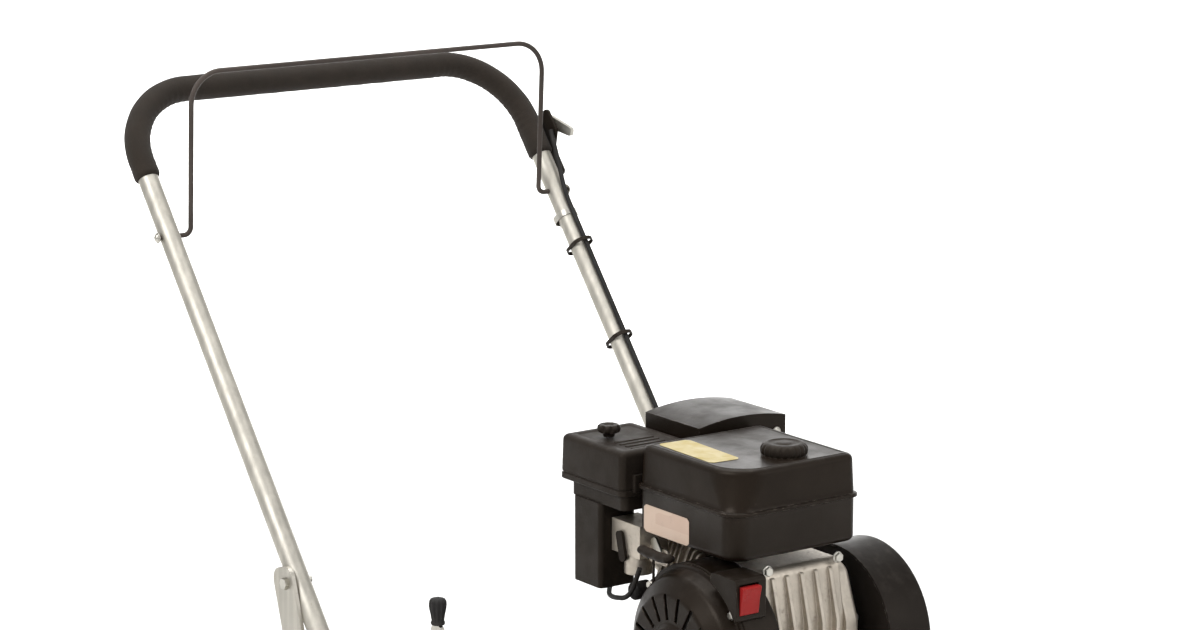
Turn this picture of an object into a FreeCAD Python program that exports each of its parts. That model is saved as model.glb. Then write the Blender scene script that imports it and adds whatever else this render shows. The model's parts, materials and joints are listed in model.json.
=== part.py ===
import FreeCAD, Part
import math
import os
from FreeCAD import Placement, Rotation, Vector

# Walk-behind lawn dethatcher (power rake). Millimetres. +X is forward, +Y is the machine's left, +Z is up.
# The origin is on the ground under the middle of the machine's box.

doc = FreeCAD.newDocument("LawnDethatcher")

DIMENSIONS = [
    ("tube_od", 25.4, "handle tube outside diameter"),
    ("tube_wall", 1.8, "handle tube wall"),
    ("handle_width", 571.5, "handle tube spacing, centre to centre"),
    ("handle_bend", 97.6, "handle bend radius on the centreline"),
    ("handle_leg", 940, "handle leg from the crossbar's line to its lower end"),
    ("handle_lean", 38.88, "handle leg's angle from the vertical, degrees"),
    ("handle_x", -513.5, "crossbar centre, X"),
    ("handle_z", 990, "crossbar centre, Z"),
    ("grip_od", 33, "foam grip outside diameter"),
    ("grip_fit", 0.05, "gap between foam and tube"),
    ("bail_wire", 6.4, "bail wire diameter"),
    ("bail_height", 199.4, "bail crossbar above its pivots"),
    ("bail_inset", 28.6, "bail leg inboard of the tube's centre"),
    ("bail_corner", 40, "bail upper corner radius"),
    ("bail_foot", 9, "bail foot bend radius"),
    ("pivot_along", 203.9, "bail pivot along the leg from the crossbar's line"),
    ("running_fit", 0.05, "radial clearance of a turning fit"),
    ("plate_thick", 5, "side plate thickness"),
    ("plate_inner", 230, "side plate inner face from the middle"),
    ("sheet_thick", 3, "deck sheet thickness"),
    ("engine_plate_thick", 6, "engine plate thickness"),
    ("deck_top", 294, "top of the deck sheet"),
    ("flap_thick", 4, "rubber flap thickness"),
    ("crank_x", 246, "crankshaft axis, X"),
    ("crank_z", 406, "crankshaft axis, Z"),
    ("crank_radius", 9.5, "crankshaft end radius"),
    ("recoil_radius", 99, "recoil housing radius"),
    ("shroud_radius", 105, "fan shroud radius"),
    ("case_width", 117, "crankcase width along the shaft"),
    ("cover_width", 20, "crankcase side cover width"),
    ("fin_thick", 2.6, "cooling fin thickness"),
    ("reel_x", 270, "reel axis, X"),
    ("reel_z", 122, "reel axis, Z"),
    ("reel_shaft_radius", 12.5, "reel shaft radius"),
    ("blade_radius", 105, "blade tip circle radius"),
    ("blade_thick", 3, "blade thickness"),
    ("blade_pitch", 25, "blade spacing"),
    ("guard_radius", 105, "belt guard upper radius"),
    ("guard_foot_radius", 88, "belt guard radius round the reel shaft"),
    ("guard_depth", 62, "belt guard depth"),
    ("guard_wall", 2.5, "belt guard wall"),
    ("belt_width", 13, "drive belt width"),
    ("rear_wheel_radius", 115, "rear wheel radius"),
    ("rear_wheel_width", 44, "rear wheel width"),
    ("front_wheel_radius", 80, "front wheel radius"),
    ("front_wheel_width", 36, "front wheel width"),
    ("rear_axle_radius", 8, "rear stub axle radius"),
    ("front_axle_radius", 8, "front axle radius"),
    ("cross_shaft_radius", 10, "depth cross shaft radius"),
    ("lever_thick", 5, "depth lever thickness"),
    ("cable_dia", 6, "cable sheath diameter"),
    ("clip_width", 5, "cable clip width"),
    ("bolt_radius", 4, "M8 bolt shank radius"),
    ("brace_thick", 5, "handle brace thickness"),
]

sheet = doc.addObject("Spreadsheet::Sheet", "Dims")
for row, (alias, value, meaning) in enumerate(DIMENSIONS, 1):
    sheet.set(f"A{row}", meaning)
    sheet.set(f"B{row}", str(value))
    sheet.setAlias(f"B{row}", alias)
doc.recompute()
size = {alias: value for alias, value, meaning in DIMENSIONS}

X_AXIS = Vector(1, 0, 0)
Y_AXIS = Vector(0, 1, 0)
Z_AXIS = Vector(0, 0, 1)
# How an outline drawn on a body's XY plane stands in the machine, and which way its depth runs.
FLAT = (Rotation(), False)  # outline in X and Y, depth to +Z
SIDE = (Rotation(X_AXIS, 90), True)  # outline in X and Z, depth to +Y
FRONT = (Rotation(Vector(1, 1, 1), 120), False)  # outline in Y and Z, depth to +X
nodes = []


def keep(thing):
    """Marks a finished sub-part to be written out under its label."""
    nodes.append(thing)
    return thing


# ---------------------------------------------------------------- outlines


def rounded(points, closed=True):
    """Line and arc edges through corners given as (x, y) or (x, y, corner radius)."""
    corners = [Vector(p[0], p[1], 0) for p in points]
    radii = [p[2] if len(p) > 2 else 0 for p in points]
    count = len(corners)
    starts, ends, arcs = [], [], []
    for i, corner in enumerate(corners):
        radius = radii[i]
        if radius == 0 or (not closed and i in (0, count - 1)):
            starts.append(corner)
            ends.append(corner)
            arcs.append(None)
            continue
        back = (corners[i - 1] - corner).normalize()
        ahead = (corners[(i + 1) % count] - corner).normalize()
        half = back.getAngle(ahead) / 2
        reach = radius / math.tan(half)
        middle = (back + ahead).normalize()
        centre = corner + middle * (radius / math.sin(half))
        starts.append(corner + back * reach)
        ends.append(corner + ahead * reach)
        arcs.append(Part.Arc(starts[i], centre - middle * radius, ends[i]))
    pieces = []
    for i in range(count):
        if arcs[i]:
            pieces.append(arcs[i])
        following = (i + 1) % count
        if not closed and following == 0:
            break
        if (starts[following] - ends[i]).Length > 1e-6:
            pieces.append(Part.LineSegment(ends[i], starts[following]))
    return pieces


def rectangle(x0, y0, x1, y1, corner=0):
    """A rectangle's corners, anticlockwise."""
    return [(x0, y0, corner), (x1, y0, corner), (x1, y1, corner), (x0, y1, corner)]


def sheet_outline(line, thick):
    """A bent sheet's outline: the line of its outer face and, thick inside it, its inner face."""
    inner = []
    last = len(line) - 1
    for i, point in enumerate(line):
        here = Vector(point[0], point[1], 0)
        before = Vector(*line[max(i - 1, 0)][:2], 0)
        after = Vector(*line[min(i + 1, last)][:2], 0)
        into = (here - before).normalize() if i > 0 else (after - here).normalize()
        out = (after - here).normalize() if i < last else into
        side_in = Vector(into.y, -into.x, 0)
        side_out = Vector(out.y, -out.x, 0)
        middle = (side_in + side_out).normalize()
        shift = middle * (thick / middle.dot(side_in))
        radius = max(point[2] - thick, 0) if len(point) > 2 else 0
        inner.append((here.x + shift.x, here.y + shift.y, radius))
    return list(line) + inner[::-1]


def belt_outline(upper, upper_radius, lower, lower_radius):
    """The line of a belt round two circles, as edges: two arcs and two tangents."""
    a = Vector(*upper, 0)
    b = Vector(*lower, 0)
    along = (b - a).normalize()
    across = Vector(-along.y, along.x, 0)
    tilt = (upper_radius - lower_radius) / (b - a).Length
    level = math.sqrt(1 - tilt * tilt)
    left = along * tilt + across * level
    right = along * tilt - across * level
    return [
        Part.Arc(a + right * upper_radius, a - along * upper_radius, a + left * upper_radius),
        Part.LineSegment(a + left * upper_radius, b + left * lower_radius),
        Part.Arc(b + left * lower_radius, b + along * lower_radius, b + right * lower_radius),
        Part.LineSegment(b + right * lower_radius, a + right * upper_radius),
    ]


# ---------------------------------------------------------------- feature helpers


def new_body(label, base=Vector(), turn=Rotation()):
    body = doc.addObject("PartDesign::Body", label)
    body.Label = label
    body.Placement = Placement(base, turn)
    return body


def sketch_on(body, role, edges, offset=0.0):
    """A sketch on one of the body's origin planes, moved along that plane's normal."""
    sketch = body.newObject("Sketcher::SketchObject", body.Label + "_sketch")
    plane = next(f for f in body.Origin.OriginFeatures if f.Role == role)
    sketch.AttachmentSupport = [(plane, "")]
    sketch.MapMode = "FlatFace"
    sketch.AttachmentOffset = Placement(Vector(0, 0, offset), Rotation())
    sketch.addGeometry(edges, False)
    return sketch


def circles(holes):
    """Circle edges for holes given as (x, y, radius)."""
    return [Part.Circle(Vector(x, y, 0), Z_AXIS, radius) for x, y, radius in holes]


def set_size(feature, name, rule):
    """Binds a size to the sheet when the rule is an expression, or sets it when it is a number."""
    if isinstance(rule, str):
        feature.setExpression(name, rule)
    else:
        setattr(feature, name, rule)


def add_pad(body, edges, depth, start=0.0, flip=False, taper=0.0):
    """Adds a padded outline. start is where it begins along its own depth."""
    sketch = sketch_on(body, "XY_Plane", edges, -start if flip else start)
    pad = body.newObject("PartDesign::Pad", body.Label + "_pad")
    pad.Profile = sketch
    pad.Reversed = flip
    pad.TaperAngle = taper
    set_size(pad, "Length", depth)
    doc.recompute()
    return pad


def add_pocket(body, edges, depth, start=0.0, flip=False):
    """Cuts an outline out, over the given depth from start."""
    before = body.Shape.Volume
    sketch = sketch_on(body, "XY_Plane", edges, -start if flip else start)
    pocket = body.newObject("PartDesign::Pocket", body.Label + "_pocket")
    pocket.Profile = sketch
    pocket.Reversed = not flip
    set_size(pocket, "Length", depth)
    doc.recompute()
    if body.Shape.Volume > before - 0.01:
        raise RuntimeError(f"{body.Label}: a pocket cut nothing")
    return pocket


def padded(label, points, depth, at=0.0, stand=FLAT, holes=()):
    """A body made of one padded outline with round holes. at is where its depth begins."""
    turn, flip = stand
    body = new_body(label, turn.multVec(Vector(0, 0, -at if flip else at)), turn)
    edges = points if not isinstance(points[0], tuple) else rounded(points)
    add_pad(body, edges + circles(holes), depth, 0.0, flip)
    return body


def round_edges(body, radius, pick):
    """Fillets the edges of the body's tip that pick chooses, in the body's own axes."""
    tip = body.Tip
    chosen = [f"Edge{i}" for i, edge in enumerate(tip.Shape.Edges, 1) if pick(edge)]
    fillet = body.newObject("PartDesign::Fillet", body.Label + "_fillet")
    fillet.Base = (tip, chosen)
    fillet.Radius = radius
    doc.recompute()
    return fillet


def edges_at(height, tolerance=0.01):
    """Picks the edges that lie wholly at one height of the body's own Z."""

    def pick(edge):
        box = edge.BoundBox
        return abs(box.ZMin - height) < tolerance and abs(box.ZMax - height) < tolerance

    return pick


def turned(label, profile, base, axis=Z_AXIS):
    """A body turned round an axis through base, from corners (radius, distance along the axis)."""
    body = new_body(label, base, Rotation(Z_AXIS, axis))
    sketch = sketch_on(body, "XZ_Plane", rounded(profile))
    spin = body.newObject("PartDesign::Revolution", label + "_turn")
    spin.Profile = sketch
    spin.ReferenceAxis = (sketch, ["V_Axis"])
    spin.Angle = 360
    doc.recompute()
    return body


def rod(label, base, axis, radius, length):
    """A plain round bar from base along axis."""
    bar = doc.addObject("Part::Cylinder", label)
    bar.Label = label
    set_size(bar, "Radius", radius)
    set_size(bar, "Height", length)
    bar.Placement = Placement(base, Rotation(Z_AXIS, axis))
    return bar


def block(label, low, high):
    """A box between two corners."""
    box = doc.addObject("Part::Box", label)
    box.Label = label
    box.Length, box.Width, box.Height = high - low
    box.Placement = Placement(low, Rotation())
    return box


def fused(label, parts):
    union = doc.addObject("Part::MultiFuse", label)
    union.Label = label
    union.Shapes = parts
    union.Refine = True
    return union


def cut(label, base, tool):
    result = doc.addObject("Part::Cut", label)
    result.Label = label
    result.Base = base
    result.Tool = tool
    return result


def group(label, parts):
    """Separate solids kept in one node."""
    compound = doc.addObject("Part::Compound", label)
    compound.Label = label
    compound.Links = parts
    return compound


def bolt(label, head_base, axis, length, shank="Dims.bolt_radius"):
    """A hexagon bolt: the head stands on head_base, away from the way its shank points."""
    head = doc.addObject("Part::Prism", label + "_head")
    head.Polygon = 6
    head.setExpression("Circumradius", f"{shank} * 1.8")
    head.setExpression("Height", f"{shank} * 1.3")
    head.Placement = Placement(head_base, Rotation(Z_AXIS, axis * -1))
    return fused(label, [head, rod(label + "_shank", head_base, axis, shank, length)])


def swept_pipe(label, body, path, profile):
    pipe = body.newObject("PartDesign::AdditivePipe", label + "_pipe")
    pipe.Profile = profile
    pipe.Spine = (path, [f"Edge{i + 1}" for i in range(path.GeometryCount)])
    doc.recompute()
    return pipe


def cable(label, route):
    """A round cable along a route of straight runs joined by tangent arcs, as wide as its runs allow."""
    points = [Vector(*p) for p in route]
    radius = size["cable_dia"] / 2
    edges = []
    start = points[0]
    for i in range(1, len(points) - 1):
        back = points[i - 1] - points[i]
        ahead = points[i + 1] - points[i]
        reach = 0.45 * min(back.Length, ahead.Length)
        turn = math.pi - back.getAngle(ahead)
        bend = reach / math.tan(turn / 2)
        back.normalize()
        ahead.normalize()
        middle = (back + ahead).normalize()
        entry = points[i] + back * reach
        leave = points[i] + ahead * reach
        crown = points[i] + middle * (bend / math.cos(turn / 2) - bend)
        print(f"{label} bend {i}: radius {bend:.0f} mm, turn {math.degrees(turn):.0f} degrees")
        edges.append(Part.LineSegment(start, entry).toShape())
        edges.append(Part.Arc(entry, crown, leave).toShape())
        start = leave
    edges.append(Part.LineSegment(start, points[-1]).toShape())
    spine = Part.Wire(edges)
    ring = Part.makeCircle(radius, points[0], points[1] - points[0])
    solid = spine.makePipeShell([Part.Wire(ring)], True, False)
    expected = math.pi * radius * radius * spine.Length
    if abs(solid.Volume / expected - 1) > 0.01:
        raise RuntimeError(f"{label}: its volume isn't its section times its length")
    feature = doc.addObject("Part::Feature", label)
    feature.Label = label
    feature.Shape = solid
    return feature


# ---------------------------------------------------------------- handle

lean = math.radians(size["handle_lean"])
down_leg = Vector(math.sin(lean), 0, -math.cos(lean))
handle_front = Vector(math.cos(lean), 0, math.sin(lean))
handle_top = Vector(size["handle_x"], 0, size["handle_z"])
half_width = size["handle_width"] / 2
# A body with this turn has its X to the machine's left and its Y up along the handle's legs.
handle_turn = Rotation(Y_AXIS, down_leg * -1, handle_front * -1, "XYZ")


def on_leg(along, side=0.0, front=0.0):
    """A point on the handle: along a leg from the crossbar's line, sideways, and towards its front."""
    return handle_top + down_leg * along + Y_AXIS * side + handle_front * front


def handle_sweep(label, right_end, left_end, outer, inner):
    """A tube along the handle's line, between two places on its legs."""
    body = new_body(label, handle_top, handle_turn)
    bend = size["handle_bend"]
    line = [
        (-half_width, -right_end),
        (-half_width, 0, bend),
        (half_width, 0, bend),
        (half_width, -left_end),
    ]
    path = sketch_on(body, "XY_Plane", rounded(line, closed=False))
    rings = circles([(-half_width, 0, outer), (-half_width, 0, inner)])
    profile = sketch_on(body, "XZ_Plane", rings, right_end)
    swept_pipe(label, body, path, profile)
    return body


tube_radius = size["tube_od"] / 2
tube_bore = tube_radius - size["tube_wall"]
handle_tube = handle_sweep("handle_tube", size["handle_leg"], size["handle_leg"], tube_radius, tube_bore)
pivot = on_leg(size["pivot_along"])
PIVOT_HOLE = size["bail_wire"] / 2 + size["running_fit"]
LEG_BOLT_ALONG = 915
BRACE_BOLT_ALONG = 672
BOLT_HOLE = size["bolt_radius"] + 0.1


def cross_holes(body, places):
    """Round holes across both legs of the handle, at (along, radius)."""
    sketch = sketch_on(body, "YZ_Plane", circles([(-along, 0, radius) for along, radius in places]))
    pocket = body.newObject("PartDesign::Pocket", body.Label + "_holes")
    pocket.Profile = sketch
    pocket.Midplane = True
    pocket.Type = "Length"
    pocket.Length = size["handle_width"] + 4 * tube_radius
    doc.recompute()


solid_before = handle_tube.Shape.Volume
cross_holes(
    handle_tube,
    [(size["pivot_along"], PIVOT_HOLE), (LEG_BOLT_ALONG, BOLT_HOLE), (BRACE_BOLT_ALONG, BOLT_HOLE)],
)
if handle_tube.Shape.Volume > solid_before - 1:
    raise RuntimeError("the handle's cross holes cut nothing")
keep(handle_tube)

GRIP_RIGHT_END = 122
GRIP_LEFT_END = 150
foam_bore = tube_radius + size["grip_fit"]
keep(handle_sweep("foam_grip", GRIP_RIGHT_END, GRIP_LEFT_END, size["grip_od"] / 2, foam_bore))

# The bail: a wire hoop whose feet turn outwards into the handle's tubes. It leans forward at rest.
BAIL_LEAN = 3.2
FOOT_END = half_width + tube_radius + 3.5
leg_side = half_width - size["bail_inset"]
bail_turn = Rotation(Y_AXIS, BAIL_LEAN) * Rotation(Vector(1, 1, 1), 120)
bail = new_body("bail", pivot, bail_turn)
hoop = [
    (-FOOT_END, 0),
    (-leg_side, 0, size["bail_foot"]),
    (-leg_side, size["bail_height"], size["bail_corner"]),
    (leg_side, size["bail_height"], size["bail_corner"]),
    (leg_side, 0, size["bail_foot"]),
    (FOOT_END, 0),
]
bail_path = sketch_on(bail, "XY_Plane", rounded(hoop, closed=False))
bail_ring = sketch_on(bail, "YZ_Plane", circles([(0, 0, size["bail_wire"] / 2)]), -FOOT_END)
swept_pipe("bail", bail, bail_path, bail_ring)
keep(bail)

CAP_RADIUS = 7
CAP_LENGTH = 5
caps = []
for side in (-1, 1):
    base = pivot + Y_AXIS * (side * FOOT_END)
    word = "right" if side < 0 else "left"
    caps.append(rod(f"bail_cap_{word}", base, Y_AXIS * side, CAP_RADIUS, CAP_LENGTH))
keep(group("bail_caps", caps))

# The throttle control stands on the outer side of the left tube, beside the end of the grip.
CONTROL_Y = half_width + size["grip_od"] / 2 + 1.5
CONTROL_PLATE = 3
control_foot = on_leg(170, half_width)
control_pivot = on_leg(112, CONTROL_Y, 18)


def along_handle(point):
    """The X and Z of a point, for outlines that stand on the machine's side."""
    return (point.x, point.z)


control_outline = [
    (*along_handle(on_leg(94, 0, -6)), 6),
    (*along_handle(on_leg(94, 0, 27)), 8),
    (*along_handle(on_leg(130, 0, 27)), 8),
    (*along_handle(on_leg(146, 0, 8)), 8),
    (*along_handle(on_leg(182, 0, 8)), 5),
    (*along_handle(on_leg(182, 0, -8)), 5),
    (*along_handle(on_leg(140, 0, -8)), 8),
]
control_plate = padded("control_plate", control_outline[::-1], CONTROL_PLATE, CONTROL_Y, SIDE)
saddle_reach = CONTROL_Y - half_width - tube_radius
control_saddle = rod("control_saddle", control_foot + Y_AXIS * tube_radius, Y_AXIS, 8, saddle_reach)
control_pin = rod("control_pin", control_pivot + Y_AXIS * CONTROL_PLATE, Y_AXIS, 3, 8)
keep(fused("throttle_bracket", [control_plate, control_saddle, control_pin]))

LEVER_GAP = 0.4
LEVER_WIDTH = 5
lever_tip = control_pivot + X_AXIS * 46 - Z_AXIS * 8
lever_line = lever_tip - control_pivot
lever_cross = Vector(-lever_line.z, 0, lever_line.x).normalize()


def lever_corner(share, wide, corner):
    point = control_pivot + lever_line * share + lever_cross * wide
    return (point.x, point.z, corner)


throttle_arm = padded(
    "throttle_lever",
    [
        lever_corner(-0.2, -9, 8),
        lever_corner(1.0, -5.5, 4),
        lever_corner(1.0, 5.5, 4),
        lever_corner(-0.2, 9, 8),
    ],
    LEVER_WIDTH,
    CONTROL_Y + CONTROL_PLATE + LEVER_GAP,
    SIDE,
    [(control_pivot.x, control_pivot.z, 3 + size["running_fit"])],
)
keep(throttle_arm)

# Braces from the legs down to the side plates, on the tubes' outer sides.
BRACE_HALF = 22
brace_top = on_leg(BRACE_BOLT_ALONG)
BRACE_FOOT_X, BRACE_FOOT_Z = -20, 215
BOLT_LENGTH_PAST = 7
brace_y = half_width + tube_radius + 0.1


def strap_outline(start, end, half, corner):
    """A straight strap with rounded ends between two centres, in X and Z."""
    a = Vector(start[0], start[1], 0)
    b = Vector(end[0], end[1], 0)
    along = (b - a).normalize() * half
    across = Vector(-along.y, along.x, 0)
    tips = [a - along + across, a - along - across, b + along - across, b + along + across]
    return [(tip.x, tip.y, corner) for tip in tips]


def mirrored_pair(label, make):
    """Two separate solids made by a function of the side, -1 right and 1 left, in one node."""
    return keep(group(label, [make(-1), make(1)]))


def brace(side):
    low = brace_y if side > 0 else -brace_y - size["brace_thick"]
    return padded(
        f"brace_{'left' if side > 0 else 'right'}",
        strap_outline((brace_top.x - 6, brace_top.z - 4), (BRACE_FOOT_X, BRACE_FOOT_Z), BRACE_HALF, 16),
        "Dims.brace_thick",
        low,
        SIDE,
        [(brace_top.x, brace_top.z, BOLT_HOLE), (BRACE_FOOT_X, BRACE_FOOT_Z, BOLT_HOLE)],
    )


mirrored_pair("handle_braces", brace)

SPACER_RADIUS = 9
leg_bolt = on_leg(LEG_BOLT_ALONG)
plate_outer = size["plate_inner"] + size["plate_thick"]


def spacer(label, x, z, start, length, side):
    outer = rod(label + "_body", Vector(x, side * start, z), Y_AXIS * side, SPACER_RADIUS, length)
    bore = rod(label + "_bore", Vector(x, side * start, z), Y_AXIS * side, BOLT_HOLE, length)
    return cut(label, outer, bore)


hardware = []
for side, word in ((-1, "right"), (1, "left")):
    leg_inner = half_width - tube_radius
    leg_gap = leg_inner - plate_outer
    hardware.append(spacer(f"leg_spacer_{word}", leg_bolt.x, leg_bolt.z, plate_outer, leg_gap, side))
    hardware.append(
        spacer(f"brace_spacer_{word}", BRACE_FOOT_X, BRACE_FOOT_Z, plate_outer, brace_y - plate_outer, side)
    )
    outer_face = Vector(leg_bolt.x, side * (half_width + tube_radius), leg_bolt.z)
    hardware.append(bolt(f"leg_bolt_{word}", outer_face, Y_AXIS * -side, 71))
    brace_face = brace_y + size["brace_thick"]
    foot_head = Vector(BRACE_FOOT_X, side * brace_face, BRACE_FOOT_Z)
    hardware.append(bolt(f"brace_foot_bolt_{word}", foot_head, Y_AXIS * -side, 78))
    top_head = Vector(brace_top.x, side * brace_face, brace_top.z)
    hardware.append(bolt(f"brace_top_bolt_{word}", top_head, Y_AXIS * -side, 33))
keep(group("handle_bolts", hardware))

# ---------------------------------------------------------------- cables on the left leg

CABLE_OFFSET = tube_radius + size["cable_dia"] / 2 + 0.4
governor_pivot = Vector(146, 62, 492)
throttle_route = [
    on_leg(126, CONTROL_Y - 4.6, 22),
    on_leg(170, half_width + 7, 20),
    on_leg(215, half_width, CABLE_OFFSET),
    on_leg(300, half_width, CABLE_OFFSET + 0.2),
    on_leg(400, half_width, CABLE_OFFSET),
    on_leg(480, half_width, CABLE_OFFSET + 0.2),
    on_leg(565, half_width, CABLE_OFFSET),
    on_leg(640, half_width - 16, CABLE_OFFSET - 2),
    on_leg(700, half_width - 50, -14),
    Vector(-58, 196, 434),
    Vector(-26, 140, 431),
    Vector(16, 84, 428),
    Vector(62, 48, 427),
    Vector(112, 43, 438),
    Vector(128, 46, 478),
]
keep(cable("throttle_cable", throttle_route))

clutch_route = [
    on_leg(236, half_width, -CABLE_OFFSET),
    on_leg(330, half_width, -CABLE_OFFSET - 0.2),
    on_leg(430, half_width, -CABLE_OFFSET),
    on_leg(530, half_width, -CABLE_OFFSET - 0.2),
    on_leg(630, half_width, -CABLE_OFFSET),
    on_leg(715, half_width - 6, -CABLE_OFFSET - 4),
    on_leg(790, 266, -12),
    Vector(48, 257, 322),
    Vector(100, 252, 297),
    Vector(146, 250, 270),
    Vector(170, 249, 252),
]
keep(cable("clutch_cable", clutch_route))

CLIP_REACH = 7.5
clips = []
for index, along in enumerate((285, 425, 565)):
    turn = Rotation(Y_AXIS, handle_front, down_leg * -1, "XYZ")
    clip = new_body(f"clip_{index}", on_leg(along, half_width), turn)
    clip_outer = tube_radius + 1.6
    clip_inner = tube_radius + 0.3
    outer_reach = clip_outer + CLIP_REACH
    shape = rounded(rectangle(-clip_outer, -outer_reach, clip_outer, outer_reach, clip_outer - 0.01))
    inner_reach = clip_inner + CLIP_REACH
    hollow = rounded(rectangle(-clip_inner, -inner_reach, clip_inner, inner_reach, clip_inner - 0.01))
    add_pad(clip, shape + hollow, "Dims.clip_width")
    clips.append(clip)
keep(group("cable_clips", clips))

# ---------------------------------------------------------------- deck

crank = (size["crank_x"], size["crank_z"])
reel = (size["reel_x"], size["reel_z"])
FRONT_AXLE = (450, size["front_wheel_radius"])
CROSS_SHAFT = (150, 170)
plate_top = size["deck_top"]
plate_outline = [
    (-44, 140, 12),
    (150, 62, 12),
    (200, 46, 10),
    (425, 46, 10),
    (440, 56, 10),
    (476, 56, 14),
    (478, 200, 30),
    (405, plate_top, 36),
    (64, plate_top, 36),
    (-44, 238, 24),
]
BEARING_HOLE = 20
for side, word in ((-1, "right"), (1, "left")):
    low = size["plate_inner"] if side > 0 else -plate_outer
    keep(
        padded(
            f"side_plate_{word}",
            plate_outline,
            "Dims.plate_thick",
            low,
            SIDE,
            [
                (*reel, BEARING_HOLE),
                (*FRONT_AXLE, size["front_axle_radius"] + 0.1),
                (*CROSS_SHAFT, size["cross_shaft_radius"] + size["running_fit"]),
                (leg_bolt.x, leg_bolt.z, BOLT_HOLE),
                (BRACE_FOOT_X, BRACE_FOOT_Z, BOLT_HOLE),
            ],
        )
    )

sheet_gap = 0.2
hood_line = [
    (466, 70),
    (466, 196, 26),
    (398, plate_top, 32),
    (68, plate_top, 32),
    (-38, 236, 20),
    (-38, 172),
]
hood = padded(
    "deck_hood",
    sheet_outline(hood_line[::-1], size["sheet_thick"]),
    2 * (size["plate_inner"] - sheet_gap),
    -size["plate_inner"] + sheet_gap,
    SIDE,
)
keep(hood)

ENGINE_PLATE_X = (112, 384)
MOUNT_X = (158, 322)
MOUNT_Y = (108, 190)
engine_plate = padded(
    "engine_plate",
    rectangle(ENGINE_PLATE_X[0], -size["plate_inner"], ENGINE_PLATE_X[1], plate_outer, 12),
    "Dims.engine_plate_thick",
    size["deck_top"],
    FLAT,
    [(x, y, BOLT_HOLE) for x in MOUNT_X for y in MOUNT_Y],
)
keep(engine_plate)

FLAP_HALF = 222
FLAP_BACK = -42.1
flap = padded(
    "rear_flap",
    rectangle(-FLAP_HALF, 28, FLAP_HALF, 214, 10),
    "Dims.flap_thick",
    FLAP_BACK,
    FRONT,
)
keep(flap)

AXLE_HALF = 306
axle_end = Vector(FRONT_AXLE[0], -AXLE_HALF, FRONT_AXLE[1])
keep(rod("front_axle", axle_end, Y_AXIS, "Dims.front_axle_radius", 2 * AXLE_HALF))

# ---------------------------------------------------------------- wheels


def wheel(label, centre, radius, width, bore, side):
    """A pneumatic-looking wheel: a rounded tyre on a dished hub, as two solids in one node."""
    start = Vector(centre[0], side * centre[1], centre[2])
    hub_radius = radius * 0.56
    crown = width * 0.3
    tyre = turned(
        label + "_tyre",
        [(hub_radius, 3), (radius, 3, crown), (radius, width - 3, crown), (hub_radius, width - 3)],
        start,
        Y_AXIS * side,
    )
    dish = 9
    hub = turned(
        label + "_hub",
        [
            (bore, 0),
            (20, 0, 2),
            (22, dish, 4),
            (hub_radius - 7, dish, 4),
            (hub_radius - 5, 6, 2),
            (hub_radius, 4),
            (hub_radius, width - 4),
            (hub_radius - 5, width - 6, 2),
            (hub_radius - 7, width - dish, 4),
            (22, width - dish, 4),
            (20, width, 2),
            (bore, width),
        ],
        start,
        Y_AXIS * side,
    )
    return keep(group(label, [tyre, hub]))


REAR_WHEEL = (75, size["rear_wheel_radius"])
REAR_WHEEL_Y = 308
FRONT_WHEEL_Y = 262
for side, word in ((-1, "right"), (1, "left")):
    wheel(
        f"front_wheel_{word}",
        (FRONT_AXLE[0], FRONT_WHEEL_Y, FRONT_AXLE[1]),
        size["front_wheel_radius"],
        size["front_wheel_width"],
        size["front_axle_radius"] + size["running_fit"],
        side,
    )
    wheel(
        f"rear_wheel_{word}",
        (REAR_WHEEL[0], REAR_WHEEL_Y, REAR_WHEEL[1]),
        size["rear_wheel_radius"],
        size["rear_wheel_width"],
        size["rear_axle_radius"] + size["running_fit"],
        side,
    )

# ---------------------------------------------------------------- depth adjustment

ARM_Y = 250
ARM_THICK = 8
arm_parts = [
    rod(
        "cross_shaft",
        Vector(CROSS_SHAFT[0], -ARM_Y - ARM_THICK, CROSS_SHAFT[1]),
        Y_AXIS,
        "Dims.cross_shaft_radius",
        2 * (ARM_Y + ARM_THICK),
    )
]
for side, word in ((-1, "right"), (1, "left")):
    low = ARM_Y if side > 0 else -ARM_Y - ARM_THICK
    arm_parts.append(
        padded(f"crank_arm_{word}", strap_outline(CROSS_SHAFT, REAR_WHEEL, 17, 14), ARM_THICK, low, SIDE)
    )
    stub = Vector(REAR_WHEEL[0], side * ARM_Y, REAR_WHEEL[1])
    arm_parts.append(
        rod(f"stub_axle_{word}", stub, Y_AXIS * side, "Dims.rear_axle_radius", REAR_WHEEL_Y + 47 - ARM_Y)
    )
keep(fused("depth_axle", arm_parts))

LEVER_Y = -244.8
KNOB_BASE = (138, 452)
lever_bore = size["cross_shaft_radius"] + 0.1
lever_strap = padded(
    "depth_lever_strap",
    strap_outline(CROSS_SHAFT, KNOB_BASE, 11, 9),
    "Dims.lever_thick",
    LEVER_Y,
    SIDE,
    [(*CROSS_SHAFT, lever_bore)],
)
round_tip = Vector(KNOB_BASE[0], LEVER_Y + size["lever_thick"] / 2, KNOB_BASE[1] + 11)
lever_stem = rod("lever_stem", round_tip - Z_AXIS * 2, Z_AXIS, 2.4, 24)
keep(fused("depth_lever", [lever_strap, lever_stem]))
depth_knob = turned(
    "depth_knob",
    [(2.5, 0.2), (8, 0.2, 3), (10.5, 22, 8), (9, 31, 6), (0, 31), (0, 25), (2.5, 25)],
    round_tip,
)
keep(depth_knob)

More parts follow.
